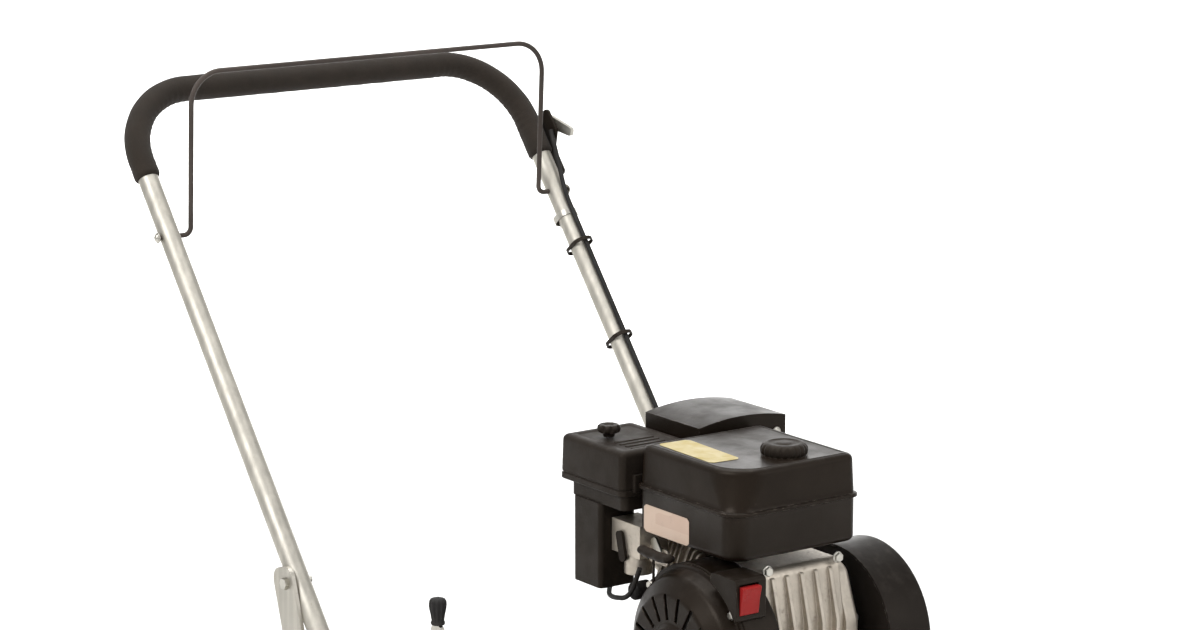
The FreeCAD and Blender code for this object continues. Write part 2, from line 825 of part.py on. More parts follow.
QUADRANT_Y = -239.5
quadrant_outline = [
    (60, 190, 6),
    (122, 190, 6),
    (186, 200, 8),
    (190, 262, 8),
    (150, 276, 30),
    (84, 264, 12),
    (56, 224, 8),
]
NOTCH_CENTRE = 92
notches = []
for step in range(6):
    angle = math.radians(94 + 7 * step)
    notches.append(
        (
            CROSS_SHAFT[0] + NOTCH_CENTRE * math.cos(angle),
            CROSS_SHAFT[1] + NOTCH_CENTRE * math.sin(angle),
            3.4,
        )
    )
keep(padded("depth_quadrant", quadrant_outline, 4, QUADRANT_Y + 0.3, SIDE, notches))

# ---------------------------------------------------------------- reel

REEL_RIGHT = -262
REEL_LEFT = 292
keep(
    rod(
        "reel_shaft",
        Vector(reel[0], REEL_RIGHT, reel[1]),
        Y_AXIS,
        "Dims.reel_shaft_radius",
        REEL_LEFT - REEL_RIGHT,
    )
)

TEETH = 6
BLADES = 17
blade_points = []
for tooth in range(TEETH):
    start = 360 / TEETH * tooth
    for radius, turn in ((0.42, 0), (0.96, 14), (1.0, 22), (0.9, 27), (0.45, 24), (0.38, 42)):
        angle = math.radians(start + turn)
        reach = size["blade_radius"] * radius
        blade_points.append((reach * math.cos(angle), reach * math.sin(angle)))
blade_sketch = doc.addObject("Sketcher::SketchObject", "blade_sketch")
blade_sketch.addGeometry(rounded(blade_points) + circles([(0, 0, size["reel_shaft_radius"] + 0.05)]), False)
blades, spacers = [], []
first_blade = -size["blade_pitch"] * (BLADES - 1) / 2 - size["blade_thick"] / 2
for index in range(BLADES):
    blade = doc.addObject("Part::Extrusion", f"blade_{index}")
    blade.Base = blade_sketch
    blade.DirMode = "Normal"
    blade.Solid = True
    blade.setExpression("LengthFwd", "Dims.blade_thick")
    near = first_blade + index * size["blade_pitch"]
    spin = Rotation(Z_AXIS, 20 * (index % 3))
    blade.Placement = Placement(
        Vector(reel[0], near + size["blade_thick"], reel[1]), Rotation(X_AXIS, 90) * spin
    )
    blades.append(blade)
    if index == BLADES - 1:
        continue
    base = Vector(reel[0], near + size["blade_thick"], reel[1])
    gap = size["blade_pitch"] - size["blade_thick"]
    sleeve = rod(f"spacer_body_{index}", base, Y_AXIS, 19, gap)
    bore = rod(f"spacer_bore_{index}", base, Y_AXIS, size["reel_shaft_radius"] + 0.05, gap)
    spacers.append(cut(f"spacer_{index}", sleeve, bore))
keep(group("cutter_blades", blades))
keep(group("blade_spacers", spacers))

BEARING_PROFILE = [
    (size["reel_shaft_radius"] + size["running_fit"], -4),
    (BEARING_HOLE - 0.1, -4),
    (BEARING_HOLE - 0.1, 0),
    (38, 0, 3),
    (36, 5, 2),
    (24, 6, 2),
    (21, 12, 2),
    (size["reel_shaft_radius"] + size["running_fit"], 12),
]
bearings = []
for side, word in ((-1, "right"), (1, "left")):
    base = Vector(reel[0], side * plate_outer, reel[1])
    bearings.append(turned(f"bearing_{word}", BEARING_PROFILE, base, Y_AXIS * side))
keep(group("reel_bearings", bearings))

# ---------------------------------------------------------------- belt drive

BELT_Y = 272
BELT_THICK = 8
half_belt = size["belt_width"] / 2


def pulley(label, centre, belt_inner, bore, width, hub_side):
    """A V pulley: its groove takes the belt, whose inner face runs at belt_inner."""
    half = half_belt + 0.4
    rim = belt_inner + BELT_THICK + 2
    root = belt_inner - 0.4
    low, high = (-width / 2, width / 2)
    hub = 20
    profile = [
        (bore, low - hub_side),
        (hub, low - hub_side, 2),
        (hub + 1, low, 2),
        (rim, low, 1),
        (rim, -half),
        (root, -half),
        (root, half),
        (rim, half),
        (rim, high, 1),
        (bore, high),
    ]
    return turned(label, profile, Vector(centre[0], BELT_Y, centre[1]), Y_AXIS)


ENGINE_BELT_RADIUS = 32
REEL_BELT_RADIUS = 54
keep(pulley("engine_pulley", crank, ENGINE_BELT_RADIUS, size["crank_radius"] + 0.05, 22, 6))
keep(pulley("reel_pulley", reel, REEL_BELT_RADIUS, size["reel_shaft_radius"] + 0.05, 22, 6))

belt_inside = belt_outline(crank, ENGINE_BELT_RADIUS, reel, REEL_BELT_RADIUS)
belt_outside = belt_outline(crank, ENGINE_BELT_RADIUS + BELT_THICK, reel, REEL_BELT_RADIUS + BELT_THICK)
keep(padded("drive_belt", belt_inside + belt_outside, "Dims.belt_width", BELT_Y - half_belt, SIDE))

GUARD_Y = 241
guard_head = (250, 398)
guard_outer = belt_outline(guard_head, size["guard_radius"], reel, size["guard_foot_radius"])
inner_radius = size["guard_radius"] - size["guard_wall"]
inner_foot = size["guard_foot_radius"] - size["guard_wall"]
guard_inner = belt_outline(guard_head, inner_radius, reel, inner_foot)
turn, flip = SIDE
guard = new_body("belt_guard", turn.multVec(Vector(0, 0, -GUARD_Y)), turn)
add_pad(guard, guard_outer, "Dims.guard_depth", 0, flip)
far_edge = edges_at(-size["guard_depth"])
round_edges(guard, 5, far_edge)
add_pocket(guard, guard_inner, "Dims.guard_depth - Dims.guard_wall", 0, flip)
CABLE_SLOT = (166, 249)
slot = block("cable_slot", Vector(150, CABLE_SLOT[1] - 5, 240), Vector(176, CABLE_SLOT[1] + 5, 266))
guard_shell = cut("belt_guard_cut", guard, slot)
guard.Label = "belt_guard_shell"
guard_shell.Label = "belt_guard"
keep(guard_shell)

BACK_THICK = 2.5
idler_pivot = (226, 190)
back_inner = belt_outline(guard_head, inner_radius - 0.3, reel, inner_foot - 0.3)
keep(
    padded(
        "guard_backplate",
        back_inner,
        BACK_THICK,
        GUARD_Y + 0.2,
        SIDE,
        [(*crank, 24), (*reel, 40), (*idler_pivot, 6 + size["running_fit"])],
    )
)

ARM_PLANE_Y = GUARD_Y + 0.2 + BACK_THICK + 0.5
IDLER_RADIUS = 25
idler_rest = (268.5, 255)
arm_outline = [
    (idler_rest[0] + 11, idler_rest[1] + 4, 9),
    (idler_rest[0] - 8, idler_rest[1] + 12, 9),
    (idler_pivot[0] - 8, idler_pivot[1] + 16, 8),
    (182, 226, 7),
    (174, 212, 7),
    (idler_pivot[0] - 4, idler_pivot[1] - 12, 10),
    (idler_pivot[0] + 14, idler_pivot[1] - 4, 10),
]
arm_plate = padded("idler_plate", arm_outline[::-1], 4, ARM_PLANE_Y, SIDE)
arm_pin = rod("idler_pivot_pin", Vector(idler_pivot[0], GUARD_Y, idler_pivot[1]), Y_AXIS, 6, 5)
wheel_pin = rod("idler_wheel_pin", Vector(idler_rest[0], ARM_PLANE_Y, idler_rest[1]), Y_AXIS, 5, 36)
keep(fused("idler_arm", [arm_plate, arm_pin, wheel_pin]))
idler_half = half_belt + 1.5
keep(
    turned(
        "idler_pulley",
        [
            (5 + size["running_fit"], -idler_half),
            (IDLER_RADIUS, -idler_half, 1.5),
            (IDLER_RADIUS, idler_half, 1.5),
            (5 + size["running_fit"], idler_half),
        ],
        Vector(idler_rest[0], BELT_Y, idler_rest[1]),
        Y_AXIS,
    )
)

# ---------------------------------------------------------------- engine

ENGINE_BASE = size["deck_top"] + size["engine_plate_thick"]
CASE_Y = 88
COVER_Y = CASE_Y + size["case_width"]
CYLINDER_TILT = math.radians(25)
cylinder_out = Vector(-math.cos(CYLINDER_TILT), 0, math.sin(CYLINDER_TILT))
cylinder_up = Vector(math.sin(CYLINDER_TILT), 0, math.cos(CYLINDER_TILT))
crank_point = Vector(crank[0], 0, crank[1])
CYLINDER_START = 72
CYLINDER_HALF = 58
top_corner = crank_point + cylinder_out * CYLINDER_START + cylinder_up * 75
low_corner = crank_point + cylinder_out * CYLINDER_START - cylinder_up * 75
FOOT_HEIGHT = 12
case_outline = [
    (low_corner.x, ENGINE_BASE + FOOT_HEIGHT),
    (306, ENGINE_BASE + FOOT_HEIGHT, 8),
    (310, 440, 18),
    (298, top_corner.z, 12),
    (top_corner.x, top_corner.z),
    (low_corner.x, low_corner.z),
]
bore = size["crank_radius"] + size["running_fit"]
case_body = padded("case_block", case_outline, "Dims.case_width", CASE_Y, SIDE, [(*crank, bore)])
case_foot = padded(
    "case_foot",
    rectangle(144, CASE_Y + 8, 334, COVER_Y - 2, 14),
    FOOT_HEIGHT,
    ENGINE_BASE,
    FLAT,
    [(x, y, BOLT_HOLE) for x in MOUNT_X for y in MOUNT_Y],
)
RIBS = 5
ribs = []
for index in range(RIBS):
    y = CASE_Y + 16 + index * 21
    rib_outline = [(300, 320), (316, 322, 4), (319, 436, 10), (303, 496, 3), (296, 496)]
    ribs.append(padded(f"case_rib_{index}", rib_outline, 5, y, SIDE))
bolt_holes_cut = [
    rod(f"foot_clearance_{i}", Vector(x, y, ENGINE_BASE + FOOT_HEIGHT), Z_AXIS, 9, 12)
    for i, (x, y) in enumerate([(x, y) for x in MOUNT_X for y in MOUNT_Y])
]
OIL_FILLER = (324, 149, 336)
filler_neck = rod("filler_neck", Vector(300, *OIL_FILLER[1:]), X_AXIS, 14, OIL_FILLER[0] - 300)
filler_bore = rod("filler_bore", Vector(282, *OIL_FILLER[1:]), X_AXIS, 4, OIL_FILLER[0] - 281)
case_union = fused("case_union", [case_body, case_foot, filler_neck] + ribs)
keep(cut("crankcase", case_union, fused("case_clearances", bolt_holes_cut + [filler_bore])))

cover_outline = [
    (168, 314, 18),
    (312, 314, 18),
    (316, 430, 24),
    (292, 494, 20),
    (214, 494, 24),
    (166, 420, 30),
]
cover_plate = padded("cover_plate", cover_outline, "Dims.cover_width", COVER_Y, SIDE, [(*crank, bore)])
keep(cover_plate).Label = "crankcase_cover"
round_edges(cover_plate, 6, edges_at(-size["cover_width"]))

cylinder_turn = Rotation(cylinder_up, Y_AXIS, cylinder_out, "XYZ")
CYLINDER_Y = 146


def finned(label, start, length, core_up, core_wide, fin_up, fin_wide, pitch):
    """A block along the cylinder's axis with cooling fins across it."""
    base = crank_point + cylinder_out * start + Y_AXIS * CYLINDER_Y
    body = new_body(label, base, cylinder_turn)
    add_pad(body, rounded(rectangle(-core_up, -core_wide, core_up, core_wide, 12)), length)
    at = 1.5
    while at + size["fin_thick"] < length:
        edges = rounded(rectangle(-fin_up, -fin_wide, fin_up, fin_wide, 10))
        add_pad(body, edges, "Dims.fin_thick", at)
        at += pitch
    return keep(body)


finned("cylinder", CYLINDER_START, 54, 46, 44, CYLINDER_HALF, 54, 8.4)
HEAD_START = CYLINDER_START + 54
finned("cylinder_head", HEAD_START, 34, 48, 46, CYLINDER_HALF - 4, 54, 7.6)
ROCKER_START = HEAD_START + 34
rocker_base = crank_point + cylinder_out * ROCKER_START + Y_AXIS * CYLINDER_Y
rocker = new_body("rocker_cover", rocker_base, cylinder_turn)
add_pad(rocker, rounded(rectangle(-44, -44, 44, 44, 14)), 5)
add_pad(rocker, rounded(rectangle(-37, -37, 37, 37, 14)), 24, 5)
round_edges(rocker, 8, edges_at(29))
keep(rocker)

# Fan side: a round shroud over the flywheel and the recoil starter's dished housing outside it.
RECOIL_Y = -2
SHROUD_Y = 38
shroud_depth = CASE_Y - SHROUD_Y
SHROUD_WALL = 3
shroud_profile = [
    (24, shroud_depth - SHROUD_WALL),
    (size["shroud_radius"] - SHROUD_WALL, shroud_depth - SHROUD_WALL),
    (size["shroud_radius"] - SHROUD_WALL, 0),
    (size["shroud_radius"], 0, 1),
    (size["shroud_radius"], shroud_depth, 6),
    (24, shroud_depth),
]
shroud_drum = turned("shroud_drum", shroud_profile, Vector(crank[0], SHROUD_Y, crank[1]), Y_AXIS)
SWITCH = (335, 44, 490)
SWITCH_BOX_Y = 26
switch_box = padded("switch_box", rectangle(290, 464, SWITCH[0] + 3, 515, 6), 42, SWITCH_BOX_Y, SIDE)
SWITCH_HALF = 16.5
SWITCH_WIDTH = 26
drum_centre = Vector(crank[0], SHROUD_Y, crank[1])
drum_hollow = rod("drum_hollow", drum_centre, Y_AXIS, size["shroud_radius"] - 1, shroud_depth)
rim_gap = rod("rim_gap", drum_centre - Y_AXIS * 20, Y_AXIS, size["shroud_radius"] + 2, 19.9)
switch_recess = block(
    "switch_recess",
    Vector(SWITCH[0] - 7, SWITCH[1] - SWITCH_WIDTH / 2 - 0.4, SWITCH[2] - SWITCH_HALF - 0.5),
    Vector(SWITCH[0] + 9, SWITCH[1] + SWITCH_WIDTH / 2 + 0.4, SWITCH[2] + SWITCH_HALF + 2.5),
)
switch_shell = cut("switch_shell", switch_box, fused("switch_cuts", [drum_hollow, rim_gap, switch_recess]))
keep(fused("fan_shroud", [shroud_drum, switch_shell]))

recoil_depth = SHROUD_Y - RECOIL_Y
recoil_r = size["recoil_radius"]
recoil_profile = [
    (0, 0),
    (34, 0, 4),
    (40, 6, 4),
    (recoil_r - 26, 6, 10),
    (recoil_r - 6, 20, 14),
    (recoil_r, recoil_depth - 4, 3),
    (recoil_r + 5, recoil_depth - 4, 1),
    (recoil_r + 5, recoil_depth - 0.2),
    (recoil_r - 4, recoil_depth - 0.2),
    (recoil_r - 9.5, 21, 12),
    (recoil_r - 27, 9, 8),
    (38.5, 9, 3),
    (32, 3, 3),
    (0, 3),
]
recoil_dish = turned("recoil_dish", recoil_profile, Vector(crank[0], RECOIL_Y, crank[1]), Y_AXIS)
VENTS = 18
recoil_tools = []
for index in range(VENTS):
    angle = 360 / VENTS * index
    vent = doc.addObject("Part::Box", f"vent_{index}")
    vent.Length, vent.Width, vent.Height = 30, 14, 5.5
    spin = Rotation(Y_AXIS, angle)
    vent.Placement = Placement(
        Vector(crank[0], RECOIL_Y + 2, crank[1]) + spin.multVec(Vector(44, 0, -2.75)), spin
    )
    recoil_tools.append(vent)
ROPE_X = 190
ROPE_Y = 20
recoil_tools.append(rod("rope_hole", Vector(ROPE_X, ROPE_Y, 440), Z_AXIS, 3.5, 80))
keep(cut("recoil_housing", recoil_dish, fused("recoil_cuts", recoil_tools)))

GRIP_Z = 514
ROPE_FOOT = 345
rope = rod("starter_rope", Vector(ROPE_X, ROPE_Y, ROPE_FOOT), Z_AXIS, 1.8, GRIP_Z - ROPE_FOOT)
grip_bar = new_body("starter_bar", Vector(ROPE_X + 4, ROPE_Y, GRIP_Z), Rotation())
add_pad(grip_bar, rounded(rectangle(-31, -8, 31, 8, 7.9)), 16, -8)
round_edges(grip_bar, 6, lambda edge: edge.BoundBox.ZLength < 0.01)
keep(fused("starter_handle", [rope, grip_bar]))

keep(
    turned(
        "flywheel",
        [
            (size["crank_radius"] + 0.05, 10),
            (96, 10, 2),
            (100, 20, 2),
            (100, 40, 2),
            (70, 40, 4),
            (60, 24, 4),
            (22, 24, 2),
            (22, 44, 2),
            (size["crank_radius"] + 0.05, 44),
        ],
        Vector(crank[0], SHROUD_Y, crank[1]),
        Y_AXIS,
    )
)
SHAFT_START = SHROUD_Y + 6
SHAFT_END = 288
shaft_base = Vector(crank[0], SHAFT_START, crank[1])
keep(rod("crankshaft", shaft_base, Y_AXIS, "Dims.crank_radius", SHAFT_END - SHAFT_START))

# The engine switch is a rocker in the recess on the front of its box.
switch_outline = [
    (SWITCH[0] - 1, SWITCH[2] - SWITCH_HALF, 1),
    (SWITCH[0] + 4, SWITCH[2] - SWITCH_HALF, 1),
    (SWITCH[0] + 6, SWITCH[2], 4),
    (SWITCH[0] + 10, SWITCH[2] + SWITCH_HALF, 2),
    (SWITCH[0] - 1, SWITCH[2] + SWITCH_HALF, 1),
]
keep(padded("engine_switch", switch_outline, SWITCH_WIDTH, SWITCH[1] - SWITCH_WIDTH / 2, SIDE))

# Fuel tank: a pressed lower half, the seam's flange, and a drafted upper half.
TANK = (124, 47, 305, 227)
TANK_Z = 522
SEAM_Z = 576
TANK_TOP = 627
tank = new_body("fuel_tank", Vector(0, 0, TANK_Z))
TANK_CORNERS = (10, 24, 10, 10)


def tank_outline(grow):
    """The tank's outline, grown all round. The corner over the starter is rounder than the others."""
    plain = rectangle(TANK[0] - grow, TANK[1] - grow, TANK[2] + grow, TANK[3] + grow)
    return rounded([(x, y, corner + grow) for (x, y, _), corner in zip(plain, TANK_CORNERS)])


SEAM_OUT = 4
SEAM_THICK = 4
add_pad(tank, tank_outline(0), SEAM_Z - TANK_Z)
add_pad(tank, tank_outline(SEAM_OUT), SEAM_THICK, SEAM_Z - TANK_Z)
upper_depth = TANK_TOP - SEAM_Z - SEAM_THICK
add_pad(tank, tank_outline(0), upper_depth, SEAM_Z - TANK_Z + SEAM_THICK, taper=-2)
round_edges(tank, 7, edges_at(TANK_TOP - TANK_Z))
round_edges(tank, 8, edges_at(0))
CAP_CENTRE = (258, 156)
add_pad(tank, circles([(*CAP_CENTRE, 21)]), 8, TANK_TOP - TANK_Z - 1)
keep(tank)

cap = turned(
    "fuel_cap",
    [(21.3, 0.3), (27, 0.3, 1), (28, 8, 2), (25, 13, 4), (0, 14), (0, 8), (21.3, 8)],
    Vector(*CAP_CENTRE, TANK_TOP),
)
keep(cap)

# Air cleaner: the case stands on a duct beside the carburettor and carries a square cover.
cleaner = new_body("air_cleaner_base", Vector(0, 0, 440))
add_pad(cleaner, rounded(rectangle(9, 34, 65.5, 86, 6)), 104)
add_pad(cleaner, rounded(rectangle(2, 36, 110, 130, 8)), 18, 104)
keep(cleaner)
cover = new_body("air_cleaner_cover", Vector(0, 0, 562.2))
COVER_HEIGHT = 54
add_pad(cover, rounded(rectangle(-11, 28, 116, 136, 8)), COVER_HEIGHT)
round_edges(cover, 7, edges_at(COVER_HEIGHT))
keep(cover)
keep(
    turned(
        "air_cleaner_knob",
        [(0, 0.2), (7, 0.2), (8, 4, 1), (14, 6, 2), (14, 15, 3), (0, 15)],
        Vector(38, 66, 562.2 + COVER_HEIGHT),
    )
)

# Carburettor between the air duct and the head, with its bowl below and the choke lever on its side.
carb_body = block("carb_body", Vector(66.3, 50, 486), Vector(122, 88, 526))
carb_bowl = rod("carb_bowl", Vector(94, 69, 462), Z_AXIS, 17, 24.5)
intake = block("carb_intake", Vector(96, 88, 490), Vector(122, 91.5, 522))
GOVERNOR_BRACKET_Y = 66
governor_bracket = padded(
    "governor_bracket",
    rectangle(118, 482, 156, 502, 6),
    3,
    GOVERNOR_BRACKET_Y,
    SIDE,
    [(governor_pivot.x, governor_pivot.z, 3 + size["running_fit"])],
)
CHOKE = (86, 508)
CHOKE_PIN = 2.5
choke_bore = rod("choke_bore", Vector(CHOKE[0], 49, CHOKE[1]), Y_AXIS, CHOKE_PIN + size["running_fit"], 10)
carb_solid = fused("carb_solid", [carb_body, carb_bowl, intake, governor_bracket])
keep(cut("carburetor", carb_solid, choke_bore))
choke_strap = padded(
    "choke_strap",
    strap_outline(CHOKE, (CHOKE[0] + 6, CHOKE[1] - 24), 6, 5),
    3.5,
    45.8,
    SIDE,
)
choke_pin = rod("choke_pin", Vector(CHOKE[0], 47, CHOKE[1]), Y_AXIS, CHOKE_PIN, 11)
keep(fused("choke_lever", [choke_strap, choke_pin]))
governor_strap = padded(
    "governor_strap",
    strap_outline(
        (governor_pivot.x, governor_pivot.z), (governor_pivot.x - 12, governor_pivot.z + 16), 6, 5
    ),
    3,
    governor_pivot.y,
    SIDE,
)
governor_pin = rod("governor_pin", governor_pivot - Y_AXIS, Y_AXIS, 3, 9)
keep(fused("governor_arm", [governor_strap, governor_pin]))

# Spark plug and its boot stand out of the head on the carburettor's side.
plug = turned(
    "spark_plug",
    [(0, 0.2), (10, 0.2), (10, 8, 1), (6, 9), (6, 16), (11, 17, 2), (11, 40, 4), (0, 40)],
    crank_point + cylinder_out * (HEAD_START + 18) + cylinder_up * -26 + Y_AXIS * (CYLINDER_Y - 54),
    Y_AXIS * -1,
)
keep(plug)

# Muffler and its louvred guard, behind the tank on the belt side.
GUARD_BOX = (12, 139, 119, 269)
ARCH_LOW, ARCH_SHOULDER, ARCH_TOP = 530, 631, 638


def arch(inset, low):
    """The muffler guard's outline across the machine: straight sides under a shallow arch."""
    left = GUARD_BOX[1] + inset
    right = GUARD_BOX[3] - inset
    shoulder = ARCH_SHOULDER
    crown = ARCH_TOP - inset
    middle = (left + right) / 2
    a = Vector(left, low, 0)
    b = Vector(right, low, 0)
    c = Vector(right, shoulder, 0)
    d = Vector(left, shoulder, 0)
    return [
        Part.LineSegment(a, b),
        Part.LineSegment(b, c),
        Part.Arc(c, Vector(middle, crown, 0), d),
        Part.LineSegment(d, a),
    ]


turn, flip = FRONT
length = GUARD_BOX[2] - GUARD_BOX[0]
guard_case = new_body("muffler_guard", Vector(GUARD_BOX[0], 0, 0), turn)
add_pad(guard_case, arch(0, ARCH_LOW), length)
add_pocket(guard_case, arch(2, ARCH_LOW - 1), length - 4, 2)
LOUVRES = 6
for index in range(LOUVRES):
    y = GUARD_BOX[1] + 20 + index * 14
    add_pocket(guard_case, rounded(rectangle(y, 552, y + 6, 608, 2.9)), 3, -0.5)
    add_pocket(guard_case, rounded(rectangle(y, 552, y + 6, 608, 2.9)), 3, length - 2.5)
keep(guard_case)

muffler_box = new_body("muffler_box", Vector(0, 0, 534))
add_pad(muffler_box, rounded(rectangle(19, 149, 112, 253, 20)), 76)
round_edges(muffler_box, 14, edges_at(76))
round_edges(muffler_box, 14, edges_at(0))
PORT = (99, 466)
PIPE_Y = 222
flange_low = Vector(PORT[0] - 14, 200.3, PORT[1] - 16)
flange_high = Vector(PORT[0] + 26, 207, PORT[1] + 16)
port_flange = block("port_flange", flange_low, flange_high)
port_pipe = rod("port_pipe", Vector(PORT[0], 206, PORT[1]), Y_AXIS, 12, PIPE_Y - 206)
pipe_elbow = doc.addObject("Part::Sphere", "pipe_elbow")
pipe_elbow.Radius = 12
pipe_elbow.Placement = Placement(Vector(PORT[0], PIPE_Y, PORT[1]), Rotation())
down_pipe = rod("down_pipe", Vector(PORT[0], PIPE_Y, PORT[1]), Z_AXIS, 12, 80)
keep(fused("muffler", [muffler_box, port_flange, port_pipe, pipe_elbow, down_pipe]))

# Oil filler cap on the front of the crankcase.
keep(
    turned(
        "oil_dipstick",
        [(0, -40), (2.5, -40), (2.5, 0.3), (9, 0.3), (9, 4), (13, 5, 1), (13, 14, 3), (0, 14)],
        Vector(*OIL_FILLER),
        X_AXIS,
    )
)

engine_bolts = []
for x in MOUNT_X:
    for y in MOUNT_Y:
        head_base = Vector(x, y, ENGINE_BASE + FOOT_HEIGHT)
        engine_bolts.append(bolt(f"engine_bolt_{len(engine_bolts)}", head_base, Z_AXIS * -1, 16))
keep(group("engine_bolts", engine_bolts))

# ---------------------------------------------------------------- checks and output

doc.recompute()
faults = []
for thing in doc.Objects:
    if "Invalid" in thing.State or "Error" in thing.State:
        faults.append(f"{thing.Label} failed: {thing.State}")
for thing in nodes:
    if thing.Shape.isNull() or not thing.Shape.isValid() or not thing.Shape.Solids:
        faults.append(f"{thing.Label} has no valid solid")
if faults:
    raise RuntimeError("; ".join(faults))

os.makedirs("parts", exist_ok=True)
whole = FreeCAD.BoundBox()
for thing in nodes:
    thing.Shape.exportStep(f"parts/{thing.Label}.step")
    whole.add(thing.Shape.BoundBox)
print(f"{len(nodes)} nodes; box X {whole.XMin:.1f} to {whole.XMax:.1f}")
print(f"Y {whole.YMin:.1f} to {whole.YMax:.1f}, Z {whole.ZMin:.1f} to {whole.ZMax:.1f}")
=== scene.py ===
import json
import math

import bmesh
import bpy
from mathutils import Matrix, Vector, noise


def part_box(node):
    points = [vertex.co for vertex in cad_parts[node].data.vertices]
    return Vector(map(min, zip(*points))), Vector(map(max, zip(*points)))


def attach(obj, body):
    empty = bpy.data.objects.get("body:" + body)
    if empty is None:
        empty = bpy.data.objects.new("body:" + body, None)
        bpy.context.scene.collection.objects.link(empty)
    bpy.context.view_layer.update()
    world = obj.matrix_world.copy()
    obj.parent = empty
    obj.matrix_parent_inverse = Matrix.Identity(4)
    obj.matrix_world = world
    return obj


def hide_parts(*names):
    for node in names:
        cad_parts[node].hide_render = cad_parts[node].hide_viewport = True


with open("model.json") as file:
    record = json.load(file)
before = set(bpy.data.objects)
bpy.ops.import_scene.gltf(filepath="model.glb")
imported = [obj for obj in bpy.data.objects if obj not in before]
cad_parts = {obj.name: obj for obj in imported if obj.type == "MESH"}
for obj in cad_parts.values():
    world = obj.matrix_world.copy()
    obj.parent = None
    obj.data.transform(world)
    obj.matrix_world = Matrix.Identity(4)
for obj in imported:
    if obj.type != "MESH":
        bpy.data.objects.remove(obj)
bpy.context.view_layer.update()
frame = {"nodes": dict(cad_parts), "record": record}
NODES = frame["nodes"]

# Directions in the row frame.
FORWARD = Vector((1, 0, 0))
LEFT = Vector((0, 1, 0))
UP = Vector((0, 0, 1))

# The handle's legs lean back by this angle.
TILT = math.radians(38.88)
# Tint of the reflections on black paint, plastic and foam.
WARM = (1.0, 0.88, 0.76)

# ---------------------------------------------------------------- materials


class Graph:
    """A small builder for one material's node graph."""

    def __init__(self, name):
        self.material = bpy.data.materials.new(name)
        self.material.use_nodes = True
        self.tree = self.material.node_tree
        self.shader = self.tree.nodes["Principled BSDF"]
        self.place = self.add("ShaderNodeTexCoord").outputs["Object"]
        self.normal = None

    def add(self, kind, **inputs):
        node = self.tree.nodes.new(kind)
        for key, value in inputs.items():
            self.feed(node.inputs[key.replace("_", " ")], value)
        return node

    def feed(self, socket, value):
        if isinstance(value, bpy.types.NodeSocket):
            self.tree.links.new(value, socket)
        elif isinstance(value, (tuple, list)) and len(value) == 3 and socket.type == "RGBA":
            socket.default_value = (*value, 1)
        else:
            socket.default_value = value

    def scaled(self, scale, rotation=(0, 0, 0)):
        mapping = self.add("ShaderNodeMapping", Vector=self.place)
        mapping.inputs["Scale"].default_value = scale
        mapping.inputs["Rotation"].default_value = rotation
        return mapping.outputs["Vector"]

    def noise(self, scale, detail=4.0, roughness=0.55, where=None):
        node = self.add("ShaderNodeTexNoise", Scale=scale, Detail=detail, Roughness=roughness)
        self.feed(node.inputs["Vector"], self.place if where is None else where)
        return node.outputs["Fac"]

    def cells(self, scale):
        node = self.add("ShaderNodeTexVoronoi", Scale=scale, Vector=self.place)
        return node.outputs["Distance"]

    def ramp(self, value, low, high, out_low=0.0, out_high=1.0):
        node = self.add("ShaderNodeMapRange")
        node.interpolation_type = "SMOOTHSTEP"
        limits = {"From Min": low, "From Max": high, "To Min": out_low, "To Max": out_high}
        self.feed(node.inputs["Value"], value)
        for key, item in limits.items():
            self.feed(node.inputs[key], item)
        return node.outputs["Result"]

    def math(self, operation, a, b=0.0):
        node = self.add("ShaderNodeMath")
        node.operation = operation
        self.feed(node.inputs[0], a)
        self.feed(node.inputs[1], b)
        return node.outputs[0]

    def mix(self, share, a, b):
        """Blends two colours. A Mix node's colours are its inputs 6 and 7 and its output 2."""
        node = self.add("ShaderNodeMix")
        node.data_type = "RGBA"
        self.feed(node.inputs["Factor"], share)
        self.feed(node.inputs[6], a)
        self.feed(node.inputs[7], b)
        return node.outputs[2]

    def bump(self, height, strength, distance):
        node = self.add("ShaderNodeBump", Strength=strength, Distance=distance)
        self.feed(node.inputs["Height"], height)
        if self.normal is not None:
            self.feed(node.inputs["Normal"], self.normal)
        self.normal = node.outputs["Normal"]

    def soften(self, radius):
        """Rounds the look of hard edges and gives the mask of the edges it rounds."""
        bevel = self.add("ShaderNodeBevel", Radius=radius)
        bevel.samples = 4
        geometry = self.add("ShaderNodeNewGeometry")
        dot = self.add("ShaderNodeVectorMath")
        dot.operation = "DOT_PRODUCT"
        self.feed(dot.inputs[0], bevel.outputs["Normal"])
        self.feed(dot.inputs[1], geometry.outputs["Normal"])
        self.normal = bevel.outputs["Normal"]
        return self.ramp(dot.outputs["Value"], 0.985, 0.86)

    def facing_up(self):
        """The mask of faces that look up, where dust settles."""
        geometry = self.add("ShaderNodeNewGeometry")
        split = self.add("ShaderNodeSeparateXYZ", Vector=geometry.outputs["Normal"])
        return self.ramp(split.outputs["Z"], 0.35, 1.0)

    def finish(self, color, roughness, metallic=0.0, **extra):
        self.feed(self.shader.inputs["Base Color"], color)
        self.feed(self.shader.inputs["Roughness"], roughness)
        self.feed(self.shader.inputs["Metallic"], metallic)
        for key, value in extra.items():
            self.feed(self.shader.inputs[key.replace("_", " ")], value)
        if self.normal is not None:
            self.feed(self.shader.inputs["Normal"], self.normal)
        return self.material


def toned(color, factor, lift=0.0):
    """A lighter or darker version of a colour."""
    return tuple(min(1, c * factor + lift) for c in color)


